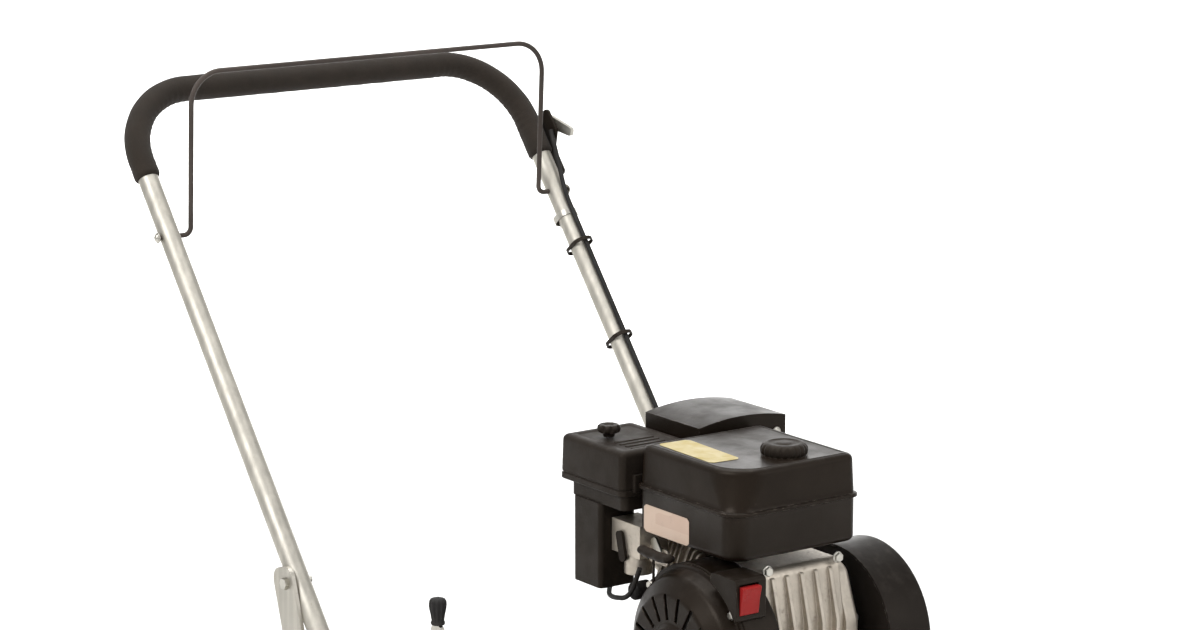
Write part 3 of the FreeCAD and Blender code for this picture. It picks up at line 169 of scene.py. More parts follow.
def painted(name, base, worn, rough, peel=0.25, edge=0.0012, wear=0.5, dust=0.05):
    """Black paint over steel: orange peel, faint mottling, dust on top faces and worn edges."""
    g = Graph(name)
    edges = g.soften(edge)
    broad = g.noise(9, 3)
    fine = g.noise(70, 5)
    color = g.mix(g.ramp(broad, 0.35, 0.7), base, toned(base, 1.4, 0.001))
    lint = g.math("MULTIPLY", g.facing_up(), g.ramp(fine, 0.45, 0.8, 0, dust))
    color = g.mix(lint, color, (0.33, 0.29, 0.25))
    chips = g.math("MULTIPLY", edges, g.ramp(g.noise(140, 3), 0.5, 0.68, 0, wear))
    color = g.mix(chips, color, worn)
    g.bump(g.noise(520, 2), peel, 0.0004)
    g.bump(g.noise(38, 3), 0.12, 0.002)
    roughness = g.ramp(g.noise(24, 4), 0.3, 0.75, rough - 0.06, rough + 0.1)
    bare_metal = g.math("MULTIPLY", chips, 0.8)
    return g.finish(color, roughness, bare_metal, Specular_IOR_Level=0.15, Specular_Tint=WARM)


def plated(name, base, rough, along=(1, 1, 1), rotation=(0, 0, 0), tarnish=(0.3, 0.26, 0.2), edge=0.0008):
    """Zinc plated or drawn steel: long streaks, cloudy plating and specks of tarnish."""
    g = Graph(name)
    g.soften(edge)
    streaks = g.noise(1.0, 4, 0.6, g.scaled(along, rotation))
    clouds = g.noise(16, 4, 0.6)
    color = g.mix(g.ramp(streaks, 0.3, 0.72), toned(base, 0.8), base)
    color = g.mix(g.ramp(clouds, 0.5, 0.85, 0, 0.3), color, toned(base, 1.12))
    color = g.mix(g.ramp(g.noise(210, 3), 0.66, 0.8, 0, 0.5), color, tarnish)
    g.bump(streaks, 0.12, 0.0003)
    g.bump(g.noise(330, 3), 0.1, 0.0002)
    roughness = g.ramp(clouds, 0.3, 0.8, rough - 0.07, rough + 0.12)
    return g.finish(color, roughness, 1.0)


def cast(name, base, rough, grain=0.5, metallic=0.85, stain=(0.12, 0.09, 0.07)):
    """A sand or die casting: coarse skin, stained hollows and rubbed bright edges."""
    g = Graph(name)
    edges = g.soften(0.0018)
    skin = g.noise(240, 5, 0.65)
    broad = g.noise(14, 4, 0.6)
    color = g.mix(g.ramp(broad, 0.3, 0.75), toned(base, 0.7), base)
    color = g.mix(g.ramp(g.noise(60, 5, 0.7), 0.55, 0.8, 0, 0.55), color, stain)
    color = g.mix(g.math("MULTIPLY", edges, 0.35), color, toned(base, 1.3))
    g.bump(skin, grain, 0.0006)
    g.bump(g.cells(420), 0.12, 0.0003)
    roughness = g.ramp(skin, 0.3, 0.8, rough - 0.08, rough + 0.14)
    return g.finish(color, roughness, metallic)


def moulded(name, base, rough, grain=0.35, scale=650, edge=0.001, dust=0.05, shine=0.14):
    """Moulded plastic with a leather-like spark texture and scuffed edges."""
    g = Graph(name)
    edges = g.soften(edge)
    broad = g.noise(12, 3)
    color = g.mix(g.ramp(broad, 0.3, 0.75), base, toned(base, 1.4, 0.001))
    color = g.mix(g.math("MULTIPLY", edges, 0.25), color, toned(base, 2.2, 0.02))
    lint = g.math("MULTIPLY", g.facing_up(), g.ramp(g.noise(90, 5), 0.5, 0.8, 0, dust))
    color = g.mix(lint, color, (0.36, 0.32, 0.28))
    g.bump(g.cells(scale), grain, 0.0003)
    g.bump(g.noise(30, 3), 0.08, 0.0015)
    roughness = g.ramp(g.noise(45, 4), 0.3, 0.8, rough - 0.05, rough + 0.1)
    return g.finish(color, roughness, Specular_IOR_Level=shine, Specular_Tint=WARM)


def foam(name, base):
    """Closed-cell foam: open pores, darkened with painted shade, on a dusty, soft skin."""
    g = Graph(name)
    pores = g.cells(900)
    small = g.cells(1900)
    broad = g.noise(35, 4)
    color = g.mix(g.ramp(broad, 0.3, 0.75), base, toned(base, 1.5))
    # painted shade: the colour is darkened inside each pore's pit, where shade would fall
    color = g.mix(g.ramp(pores, 0.28, 0.05, 0, 0.6), color, toned(base, 0.35))
    g.bump(g.ramp(pores, 0.0, 0.4), 0.55, 0.0006)
    g.bump(g.ramp(small, 0.0, 0.4), 0.25, 0.0003)
    g.bump(g.noise(60, 3), 0.25, 0.002)
    roughness = g.ramp(broad, 0.3, 0.8, 0.8, 0.95)
    return g.finish(
        color,
        roughness,
        Sheen_Weight=0.05,
        Sheen_Roughness=0.6,
        Specular_IOR_Level=0.2,
        Specular_Tint=WARM,
    )


def rubber(name, base, dusty=0.12):
    """Rubber with a dull, slightly dusty skin."""
    g = Graph(name)
    g.soften(0.0012)
    broad = g.noise(18, 5, 0.65)
    color = g.mix(g.ramp(broad, 0.4, 0.8, 0, dusty), base, (0.14, 0.12, 0.1))
    g.bump(g.noise(420, 4), 0.25, 0.0004)
    roughness = g.ramp(g.noise(50, 4), 0.3, 0.8, 0.62, 0.85)
    return g.finish(color, roughness, Specular_IOR_Level=0.3)


def label(name, ground, ink, axis_scale, rotation):
    """A printed foil label: a plain ground with blocks of tint and worn corners, no lettering."""
    g = Graph(name)
    tone = g.add("ShaderNodeTexVoronoi", Scale=1.0)
    tone.distance = "CHEBYCHEV"
    tone.inputs["Randomness"].default_value = 0.35
    g.feed(tone.inputs["Vector"], g.scaled(axis_scale, rotation))
    split = g.add("ShaderNodeSeparateXYZ", Vector=tone.outputs["Color"])
    color = g.mix(g.ramp(split.outputs["X"], 0.6, 0.7, 0, 0.45), ground, ink)
    color = g.mix(g.ramp(g.noise(110, 4), 0.55, 0.8, 0, 0.25), color, toned(ground, 0.6))
    g.bump(g.noise(300, 2), 0.1, 0.0002)
    return g.finish(color, g.ramp(g.noise(60, 3), 0.3, 0.8, 0.3, 0.5))


MATERIALS = {
    "deck_paint": painted("deck_black", (0.006, 0.0045, 0.0036), (0.3, 0.27, 0.24), 0.42),
    "tank_paint": painted("engine_black", (0.0075, 0.0048, 0.003), (0.26, 0.22, 0.18), 0.36, peel=0.15),
    "wire": painted("bail_black", (0.045, 0.037, 0.033), (0.42, 0.39, 0.35), 0.4, wear=0.7),
    "handle_metal": plated("handle_zinc", (0.50, 0.475, 0.42), 0.52, (90, 90, 2.2), (0, TILT, 0)),
    "zinc": plated("bolt_zinc", (0.5, 0.48, 0.43), 0.34, (40, 40, 40)),
    "steel": plated("machined_steel", (0.5, 0.48, 0.45), 0.3, (8, 260, 8)),
    "blade_steel": plated(
        "blade_steel", (0.36, 0.34, 0.32), 0.4, (30, 30, 120), tarnish=(0.16, 0.08, 0.04)
    ),
    "cast_alu": cast("cast_aluminium", (0.58, 0.52, 0.44), 0.45),
    "cast_iron": cast("cast_iron", (0.12, 0.11, 0.10), 0.55, metallic=0.6, stain=(0.1, 0.05, 0.03)),
    "black_plastic": moulded("black_moulding", (0.012, 0.009, 0.0068), 0.5),
    "red_plastic": moulded("red_switch", (0.2, 0.009, 0.009), 0.32, grain=0.12, dust=0.04),
    "foam": foam("grip_foam", (0.015, 0.0115, 0.009)),
    "rubber_black": rubber("black_rubber", (0.008, 0.007, 0.0065)),
    "tyre": rubber("tyre_rubber", (0.009, 0.0082, 0.0078), 0.25),
}
for entry in frame["record"]["subparts"]:
    node = NODES[entry["node"]]
    node.data.materials.clear()
    node.data.materials.append(MATERIALS[entry["material_slot"]])

# ---------------------------------------------------------------- shape tools

# The handle tube: the middle of its crossbar, its legs' directions, and its bends.
HANDLE_TOP = Vector((-0.5135, 0, 0.990))
DOWN_LEG = Vector((math.sin(TILT), 0, -math.cos(TILT)))
LEG_FRONT = Vector((math.cos(TILT), 0, math.sin(TILT)))
HALF_WIDTH = 0.28575
HANDLE_BEND = 0.0976


def piece(name, bm, body, slot, replaced=(), smooth_angle=40, material=None):
    """Turns a bmesh into an object that rides on a body, and gives it its slot's material."""
    mesh = bpy.data.meshes.new(name)
    bmesh.ops.recalc_face_normals(bm, faces=bm.faces)
    bm.to_mesh(mesh)
    bm.free()
    for polygon in mesh.polygons:
        polygon.use_smooth = True
    mesh.set_sharp_from_angle(angle=math.radians(smooth_angle))
    mesh.materials.append(material or MATERIALS[slot])
    made = bpy.data.objects.new(name, mesh)
    bpy.context.scene.collection.objects.link(made)
    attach(made, body)
    if replaced:
        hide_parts(*replaced)
    return made


def basis(axis, toward=UP):
    """Two unit directions square to an axis."""
    axis = axis.normalized()
    if abs(axis.dot(toward)) > 0.95:
        toward = FORWARD
    u = (toward - axis * toward.dot(axis)).normalized()
    return u, axis.cross(u)


def circle(centre, u, v, radius, sides, turn=0.0):
    """Points round a circle that lies in the plane of two unit directions."""
    points = []
    for i in range(sides):
        angle = 2 * math.pi * i / sides + turn
        points.append(centre + (u * math.cos(angle) + v * math.sin(angle)) * radius)
    return points


def skin(bm, rings, caps=True):
    """Faces between closed rings of points, with flat ends unless caps is off."""
    made = [[bm.verts.new(p) for p in ring] for ring in rings]
    count = len(made[0])
    for a, b in zip(made, made[1:]):
        for i in range(count):
            j = (i + 1) % count
            bm.faces.new((a[i], a[j], b[j], b[i]))
    if caps:
        bm.faces.new(made[0][::-1])
        bm.faces.new(made[-1])


def tube_wall(bm, rings, weld=1e-6):
    """An open-ended skin whose doubled points are welded."""
    skin(bm, rings, caps=False)
    bmesh.ops.remove_doubles(bm, verts=bm.verts, dist=weld)


def lathe(bm, profile, base, axis, sides=64, lobes=0, depth=0.0):
    """A turned shape from (radius, height) pairs, where a third value waves the rim in lobes, for a grip."""
    u, v = basis(axis)
    axis = axis.normalized()
    rings = []
    for radius, height, *wave in profile:
        ring = []
        for i in range(sides):
            angle = 2 * math.pi * i / sides
            share = wave[0] if wave else 0
            swell = radius - share * depth * (0.5 - 0.5 * math.cos(lobes * angle)) ** 2
            ring.append(base + axis * height + (u * math.cos(angle) + v * math.sin(angle)) * swell)
        rings.append(ring)
    skin(bm, rings)


def round_rect(x0, y0, x1, y1, radii, steps=8):
    """Points round a rectangle whose corners have their own radii, anticlockwise from the low corner."""
    points = []
    corners = ((x0, y0, 180, 1, 1), (x1, y0, 270, -1, 1), (x1, y1, 0, -1, -1), (x0, y1, 90, 1, -1))
    for (x, y, start, sx, sy), radius in zip(corners, radii):
        for i in range(steps + 1):
            angle = math.radians(start + 90 * i / steps)
            points.append(
                (x + sx * radius + radius * math.cos(angle), y + sy * radius + radius * math.sin(angle))
            )
    return points


def stacked(bm, sections, place, steps=8):
    """A shape built up from rounded rectangles (height, x0, y0, x1, y1, radii), put in place by place."""
    rings = []
    for height, x0, y0, x1, y1, radii in sections:
        if not isinstance(radii, tuple):
            radii = (radii,) * 4
        rings.append([place(x, y, height) for x, y in round_rect(x0, y0, x1, y1, radii, steps)])
    skin(bm, rings)


def upright(x, y, z):
    """The place function of a shape that stands in the row frame."""
    return Vector((x, y, z))


def soft_block(bm, low, high, radius, corner, place=upright, steps=6, ease=4):
    """A block with rounded corners and rounded top and bottom edges."""
    x0, y0, z0 = low
    x1, y1, z1 = high
    sections = []
    for i in range(ease + 1):
        angle = math.pi / 2 * i / ease
        inset = radius * (1 - math.sin(angle))
        sections.append((z0 + radius * (1 - math.cos(angle)), inset))
    for i in range(ease + 1):
        angle = math.pi / 2 * i / ease
        inset = radius * (1 - math.cos(angle))
        sections.append((z1 - radius * (1 - math.sin(angle)), inset))
    stacked(
        bm,
        [(z, x0 + d, y0 + d, x1 - d, y1 - d, max(corner - d, 0.0004)) for z, d in sections],
        place,
        steps,
    )


def hex_bolt(bm, place, axis, across=0.013, height=0.0052, washer=0.0085, turn=0.0):
    """A flanged hexagon head standing on a face."""
    axis = axis.normalized()
    flange = [(washer, 0), (washer, 0.0011), (washer * 0.96, 0.0016), (across * 0.52, 0.0022)]
    lathe(bm, flange, place, axis, 28)
    u, v = basis(axis)
    corner = across / math.sqrt(3)
    levels = ((corner, 0.0015), (corner, height - 0.0008), (corner * 0.86, height))
    skin(bm, [circle(place + axis * z, u, v, radius, 6, turn) for radius, z in levels])


def path_frames(points):
    """The direction and two square directions at each point of a path, without twist."""
    frames = []
    side = None
    for i in range(len(points)):
        ahead = points[min(i + 1, len(points) - 1)] - points[max(i - 1, 0)]
        ahead.normalize()
        if side is None:
            side = basis(ahead, LEFT)[0]
        side = (side - ahead * side.dot(ahead)).normalized()
        frames.append((ahead, side, ahead.cross(side)))
    return frames


def handle_line(right_end, left_end, step):
    """Points down the handle's centreline from the right leg over the crossbar to the left leg."""
    points = []
    reach = HALF_WIDTH - HANDLE_BEND

    def add(side, along):
        points.append(HANDLE_TOP + DOWN_LEG * along + LEFT * side)

    legs = max(2, round((right_end - HANDLE_BEND) / step))
    for i in range(legs):
        add(-HALF_WIDTH, right_end + (HANDLE_BEND - right_end) * i / legs)
    turns = round(HANDLE_BEND * math.pi / 2 / step)
    for i in range(turns):
        angle = math.pi / 2 * i / turns
        add(-reach - HANDLE_BEND * math.cos(angle), HANDLE_BEND * (1 - math.sin(angle)))
    bar = round(2 * reach / step)
    for i in range(bar):
        add(-reach + 2 * reach * i / bar, 0)
    for i in range(turns):
        angle = math.pi / 2 * i / turns
        add(reach + HANDLE_BEND * math.sin(angle), HANDLE_BEND * (1 - math.cos(angle)))
    legs = max(2, round((left_end - HANDLE_BEND) / step))
    for i in range(legs + 1):
        add(HALF_WIDTH, HANDLE_BEND + (left_end - HANDLE_BEND) * i / legs)
    return points


# ---------------------------------------------------------------- grip and handle


GRIP_RIGHT_END = 0.122
GRIP_LEFT_END = 0.150
GRIP_RADIUS = 0.0165
GRIP_BORE = 0.01282
GRIP_SIDES = 56


def make_grip():
    """The foam sleeve: it puckers inside the bends, is a little lumpy and has rolled ends."""
    line = handle_line(GRIP_RIGHT_END, GRIP_LEFT_END, 0.0022)
    frames = path_frames(line)
    reach = HALF_WIDTH - HANDLE_BEND
    margin, pucker_depth, lump, rolled = 0.012, 0.00055, 0.00035, 0.0032
    rings = []
    for i, (point, (ahead, u, v)) in enumerate(zip(line, frames)):
        along = (point - HANDLE_TOP).dot(DOWN_LEG)
        in_bend = along < HANDLE_BEND + margin and abs(point.y) > reach - margin
        bend = 1.0 if in_bend else 0.0
        centre = Vector((0, math.copysign(reach, point.y), 0))
        centre += HANDLE_TOP + DOWN_LEG * HANDLE_BEND - Vector((0, HANDLE_TOP.y, 0))
        inward = centre - point
        inward = (inward - ahead * inward.dot(ahead)).normalized()
        end = min(i, len(line) - 1 - i)
        roll = rolled * max(0.0, 1 - end / 2.2) ** 2
        wave = 0.5 + 0.5 * math.sin(i * 1.35 + 1.2 * noise.noise(point * 40))
        ring = []
        for s in range(GRIP_SIDES):
            angle = 2 * math.pi * s / GRIP_SIDES
            out = u * math.cos(angle) + v * math.sin(angle)
            inside = max(0.0, out.dot(inward)) ** 2
            pucker = bend * inside * pucker_depth * wave
            lumps = lump * noise.noise(point * 55 + out * 1.4)
            ring.append(point + out * (GRIP_RADIUS - roll - pucker + lumps - lump))
        rings.append(ring)
    bore = [circle(point, u, v, GRIP_BORE, GRIP_SIDES) for point, (_, u, v) in zip(line, frames)]
    bm = bmesh.new()
    skin(bm, [bore[0], *rings, bore[-1]], caps=False)
    tube_wall(bm, bore)
    grip = piece("grip_sleeve", bm, "chassis", "foam", ["foam_grip"], 60)


make_grip()


def band(bm, along, back, front, radius, wall, width, sides=48):
    """A strap round the left leg that reaches past the tube by back and front."""
    centre = HANDLE_TOP + LEFT * HALF_WIDTH
    outer = radius + wall
    rings = []
    for reach, shift in ((outer, 0), (outer, width), (radius, width), (radius, 0), (outer, 0)):
        ring = []
        for i in range(sides):
            angle = 2 * math.pi * i / sides
            slide = front if math.sin(angle) >= 0 else -back
            ring.append(
                centre
                + DOWN_LEG * (along + shift)
                + LEFT * (reach * math.cos(angle))
                + LEG_FRONT * (reach * math.sin(angle) + slide)
            )
        rings.append(ring)
    tube_wall(bm, rings)


def make_cable_anchor():
    """The clutch cable's upper end: a ferrule under a steel band, and the inner wire into the tube."""
    left_leg = HANDLE_TOP + LEFT * HALF_WIDTH
    bm = bmesh.new()
    band(bm, 0.238, 0.0078, 0, 0.0130, 0.0012, 0.008)
    end = left_leg + DOWN_LEG * 0.250 - LEG_FRONT * 0.0161
    ferrule = [
        (0.0031, 0),
        (0.0041, 0.0004),
        (0.0041, 0.006),
        (0.0037, 0.0066),
        (0.0037, 0.008),
        (0.0041, 0.0086),
        (0.0041, 0.018),
        (0.003, 0.0192),
        (0.0022, 0.023),
        (0.0012, 0.0235),
    ]
    lathe(bm, ferrule, end, DOWN_LEG * -1, 28)
    start = end - DOWN_LEG * 0.023
    stop = left_leg + DOWN_LEG * 0.209 - LEG_FRONT * 0.0118
    wire = 0.0008
    lathe(bm, [(wire, 0), (wire, (stop - start).length)], start, stop - start, 10)
    piece("cable_anchor", bm, "chassis", "zinc", (), 35)


make_cable_anchor()


def make_push_nuts():
    """Domed push nuts on the ends of the bail, outside the legs."""
    outer_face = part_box("bail_caps")[1].y
    pivot = HANDLE_TOP + DOWN_LEG * 0.2039
    thick = 0.005
    dome = [
        (0.0062, 0.0),
        (0.0066, 0.0004),
        (0.0066, 0.0012),
        (0.0046, 0.0016),
        (0.0044, 0.003),
        (0.0034, 0.0041),
        (0.0012, 0.0046),
    ]
    bm = bmesh.new()
    for side in (-1, 1):
        lathe(bm, dome, pivot + LEFT * (side * (outer_face - thick)), LEFT * side, 40)
    piece("push_nuts", bm, "clutch_bail", "zinc", ["bail_caps"], 35)


make_push_nuts()

# ---------------------------------------------------------------- fuel tank

TANK = (0.124, 0.047, 0.305, 0.227)
TANK_FLOOR = 0.522
TANK_TOP = 0.627
CAP_SPOT = Vector((0.258, 0.156, TANK_TOP))
FAR_CORNER = 0.01
NEAR_CORNER = 0.024


def tank_section(z, inset, far, near):
    """One level of the tank. The corner over the starter has its own radius."""
    x0, y0, x1, y1 = TANK
    return z, x0 + inset, y0 + inset, x1 - inset, y1 - inset, (far, near, far, far)


def tank_levels():
    """The tank's levels from its floor over the seam to the bead pressed into its top."""
    levels = []
    # lower pressing, from its rounded floor to the seam
    floor_round = 0.008
    for i in range(7):
        angle = math.pi / 2 * i / 6
        inset = floor_round * (1 - math.sin(angle))
        z = TANK_FLOOR + floor_round * (1 - math.cos(angle))
        levels.append(tank_section(z, inset, FAR_CORNER - inset * 0.6, NEAR_CORNER - inset))
    seam = [
        (0.574, 0),
        (0.5754, -0.0006),
        (0.5758, -0.0034),
        (0.5763, -0.004),
        (0.5795, -0.004),
        (0.58, -0.0034),
        (0.5804, -0.0006),
    ]
    for z, inset in seam:
        levels.append(tank_section(z, inset, FAR_CORNER - inset, NEAR_CORNER - inset))
    # upper pressing: the near corner opens into a wide round towards the top
    upper_foot, upper_rise, taper, upper_far, wide_corner = 0.5815, 0.038, 0.0014, 0.0102, 0.048
    for i in range(9):
        t = i / 8
        near = 0.025 + 0.023 * t ** 0.8
        levels.append(tank_section(upper_foot + upper_rise * t, taper * t, upper_far, near))
    top_round = 0.0072
    for i in range(1, 8):
        angle = math.pi / 2 * i / 7
        turn = 1 - math.cos(angle)
        z = upper_foot + upper_rise + top_round * math.sin(angle)
        far, near = upper_far - 0.0062 * turn, wide_corner - top_round * turn
        levels.append(tank_section(z, taper + top_round * turn, far, near))
    # a shallow bead pressed into the top
    bead = ((0.0092, TANK_TOP), (0.0098, 0.6273), (0.0108, 0.6273), (0.0116, 0.6268), (0.0122, 0.6267))
    for inset, z in bead:
        levels.append(tank_section(z, inset, 0.0038, 0.04))
    return levels


def make_tank():
    """The fuel tank of two pressings with its filler neck."""
    bm = bmesh.new()
    stacked(bm, tank_levels(), upright, 12)
    neck = [(0.0275, -0.0006), (0.0262, 0.0008), (0.0232, 0.0014), (0.0208, 0.0018), (0.0206, 0.0068)]
    lathe(bm, neck, CAP_SPOT, UP, 56)
    piece("tank_shell", bm, "chassis", "tank_paint", ["fuel_tank"], 32)


def make_fuel_cap():
    """The fuel cap, with twenty grip ribs and a raised centre."""
    cap = [
        (0.0214, 0.0005),
        (0.0262, 0.0005),
        (0.0272, 0.0014, 1),
        (0.0276, 0.004, 1),
        (0.0274, 0.0082, 1),
        (0.0262, 0.0105, 1),
        (0.0238, 0.0126),
        (0.0205, 0.0134),
        (0.0182, 0.0136),
        (0.0172, 0.0129),
        (0.0095, 0.0127),
        (0.0088, 0.0133),
        (0.0034, 0.0136),
    ]
    bm = bmesh.new()
    lathe(bm, cap, CAP_SPOT, UP, 180, 20, 0.0011)
    piece("tank_cap_cover", bm, "tank_cap", "black_plastic", ["fuel_cap"], 45)


make_tank()
make_fuel_cap()

# ---------------------------------------------------------------- labels


def on_quad(corners, u, v):
    """The point at shares u and v across four corners."""
    a, b, c, d = corners
    return a.lerp(b, u).lerp(d.lerp(c, u), v)


def outer_loop(grid):
    """The points round the edge of a grid of rows."""
    right = [row[-1] for row in grid[1:]]
    left = [row[0] for row in grid[-2:0:-1]]
    return grid[0] + right + grid[-1][-2::-1] + left


def make_label(name, corners, lift, material, columns=24, rows=10, radius=0.12):
    """A thin foil label over four corners, with rounded ends and slightly lifted edges."""
    bm = bmesh.new()
    normal = (corners[1] - corners[0]).cross(corners[3] - corners[0]).normalized()
    thick, curled = 0.00022, 0.00018
    top, under = [], []
    for j in range(rows + 1):
        row_top, row_under = [], []
        for i in range(columns + 1):
            u, v = i / columns, j / rows
            across = u
            edge = min(v, 1 - v)
            if edge < radius:
                pull = (1 - math.sqrt(max(0.0, 1 - ((radius - edge) / radius) ** 2))) * radius * 0.4
                across = pull + u * (1 - 2 * pull)
            point = on_quad(corners, across, v)
            near_edge = max(0.0, 1 - 6 * min(u, 1 - u, v, 1 - v))
            curl = curled * near_edge * (0.5 + 0.5 * noise.noise(point * 90))
            row_top.append(bm.verts.new(point + normal * (lift + thick + curl)))
            row_under.append(bm.verts.new(point + normal * (lift + curl)))
        top.append(row_top)
        under.append(row_under)
    for j in range(rows):
        for i in range(columns):
            bm.faces.new((top[j][i], top[j][i + 1], top[j + 1][i + 1], top[j + 1][i]))
            bm.faces.new((under[j][i], under[j + 1][i], under[j + 1][i + 1], under[j][i + 1]))
    loop_top, loop_under = outer_loop(top), outer_loop(under)
    count = len(loop_top)
    for i in range(count):
        j = (i + 1) % count
        bm.faces.new((loop_top[i], loop_under[i], loop_under[j], loop_top[j]))
    piece(name, bm, "chassis", "tank_paint", (), 30, material)


YELLOW = label("label_yellow", (0.3, 0.22, 0.022), (0.36, 0.28, 0.09), (26, 40, 26), (0, 0, 0.05))
PALE = label("label_pale", (0.52, 0.39, 0.3), (0.42, 0.28, 0.21), (30, 30, 70), (0, 0, 0))
TOP_LABEL = ((0.137, 0.064), (0.245, 0.0605), (0.248, 0.101), (0.14, 0.107))
SIDE_LABEL = ((0.135, 0.5255), (0.222, 0.5255), (0.222, 0.558), (0.135, 0.558))
TANK_PANEL = 0.6267
TANK_SIDE = 0.0469
make_label("top_label", [Vector((x, y, TANK_PANEL)) for x, y in TOP_LABEL], 0.0001, YELLOW)
make_label("side_label", [Vector((x, TANK_SIDE, z)) for x, z in SIDE_LABEL], 0.00005, PALE)

# ---------------------------------------------------------------- air cleaner


LID = (-0.011, 0.028, 0.116, 0.136)
LID_TOP = 0.6162


def lid_section(z, inset, corner):
    """One level of the air cleaner's lid."""
    x0, y0, x1, y1 = LID
    return z, x0 + inset, y0 + inset, x1 - inset, y1 - inset, corner


def make_cleaner_lid():
    """The air cleaner's lid: a foot flange, a tapered wall, a rounded top with ribs, and two clips."""
    levels = []
    foot = ((0.5622, 0.001), (0.5632, 0), (0.5692, 0), (0.5698, 0.0014), (0.5712, 0.0014), (0.5718, 0.0004))
    for z, inset in foot:
        levels.append(lid_section(z, inset, 0.008))
    wall_corner = 0.0078
    for i in range(5):
        levels.append(lid_section(0.573 + 0.036 * i / 4, 0.0004 + 0.0008 * i / 4, wall_corner))
    top_round = 0.0068
    for i in range(1, 7):
        angle = math.pi / 2 * i / 6
        turn = 1 - math.cos(angle)
        z = 0.6094 + top_round * math.sin(angle)
        levels.append(lid_section(z, 0.0012 + top_round * turn, wall_corner - 0.004 * turn))
    for inset, z in ((0.0135, LID_TOP), (0.015, 0.6154), (0.017, 0.615)):
        levels.append(lid_section(z, inset, 0.0045))
    bm = bmesh.new()
    stacked(bm, levels, upright, 8)
    # raised ribs, clear of the knob
    rib_width = 0.0048
    for index in range(4):
        x = 0.062 + index * 0.0115
        soft_block(bm, (x, 0.054, 0.6142), (x + rib_width, 0.112, 0.6161), 0.0008, 0.0022)
    # clips at the front end
    end = LID[2]
    clip_half = 0.007
    for y in (0.052, 0.112):
        low, high = (end - 0.0035, y - clip_half, 0.5665), (end + 0.0022, y + clip_half, 0.588)
        soft_block(bm, low, high, 0.001, 0.002)
    piece("cleaner_lid", bm, "chassis", "black_plastic", ["air_cleaner_cover"], 35)


def make_cleaner_knob():
    """The lid's eight-lobed knob."""
    knob = [
        (0.0066, 0.0004),
        (0.0072, 0.004),
        (0.0126, 0.0062),
        (0.0138, 0.0074, 1),
        (0.0141, 0.0105, 1),
        (0.0136, 0.0132, 1),
        (0.0112, 0.0149),
        (0.0064, 0.0146),
        (0.0055, 0.0138),
        (0.0012, 0.0136),
    ]
    bm = bmesh.new()
    lathe(bm, knob, Vector((0.038, 0.066, LID_TOP)), UP, 128, 8, 0.0024)
    piece("cleaner_knob_grip", bm, "cleaner_knob", "black_plastic", ["air_cleaner_knob"], 45)


make_cleaner_lid()
make_cleaner_knob()

# ---------------------------------------------------------------- depth knob, starter grip


def make_depth_knob():
    """The depth lever's ribbed knob, as shares of its node's radius and height."""
    low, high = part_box("depth_knob")
    centre = Vector(((low.x + high.x) / 2, (low.y + high.y) / 2, low.z))
    tall = high.z - low.z
    radius = (high.x - low.x) / 2
    shape = [
        (0.32, 0.0),
        (0.72, 0.0),
        (0.78, 0.03),
        (0.78, 0.09),
        (0.7, 0.13, 0.3),
        (0.72, 0.2, 1),
        (0.82, 0.4, 1),
        (0.95, 0.6, 1),
        (0.995, 0.74, 1),
        (0.96, 0.87, 0.8),
        (0.8, 0.96, 0.3),
        (0.5, 0.995),
        (0.15, 1.0),
    ]
    profile = [(r * radius, h * tall, *wave) for r, h, *wave in shape]
    bm = bmesh.new()
    lathe(bm, profile, centre, UP, 120, 10, 0.0014)
    piece("depth_knob_grip", bm, "depth_control", "rubber_black", ["depth_knob"], 50)


ROPE_SPOT = (0.190, 0.020)


def starter_handle_rings(middle, top, stations=21, sides=24):
    """The starter's hand grip: a slightly curved oval bar with rounded ends."""
    rings = []
    for i in range(stations):
        t = i / (stations - 1) * 2 - 1
        point = Vector((middle.x + 0.0305 * t, middle.y, top - 0.008 + 0.0022 * t * t - 0.0012))
        reach = abs(t)
        swell = math.sqrt(max(0.02, 1 - max(0, (reach - 0.8) / 0.2) ** 2))
        wide = 0.0076 * swell * (1 - 0.06 * math.cos(reach * 9))
        ring = []
        for s in range(sides):
            angle = 2 * math.pi * s / sides
            ring.append(point + LEFT * (wide * math.cos(angle)) + UP * (wide * 0.72 * math.sin(angle)))
        rings.append(ring)
    return rings


def rope_rings(foot, head, stations=200, sides=12):
    """A straight length of three-strand rope."""
    x, y = ROPE_SPOT
    rings = []
    for i in range(stations):
        z = foot + (head - foot) * i / (stations - 1)
        ring = []
        for s in range(sides):
            angle = 2 * math.pi * s / sides
            braid = 0.00172 + 0.00012 * math.sin(3 * angle + i * 0.9)
            ring.append(Vector((x + braid * math.cos(angle), y + braid * math.sin(angle), z)))
        rings.append(ring)
    return rings


def make_starter_grip():
    """The starter's grip on its rope."""
    low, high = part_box("starter_handle")
    bm = bmesh.new()
    skin(bm, starter_handle_rings((low + high) / 2, high.z))
    skin(bm, rope_rings(low.z, high.z - 0.011))
    piece("starter_pull_grip", bm, "starter", "black_plastic", ["starter_handle"], 50)


make_depth_knob()
make_starter_grip()

# ---------------------------------------------------------------- wheels


RIM_SHARE = 0.56
# The tread's height, the steps round the tyre for each block with its gap, and the block's share of them.
LUG = 0.0031
TREAD_STEPS = 8
BLOCK_SHARE = 0.62


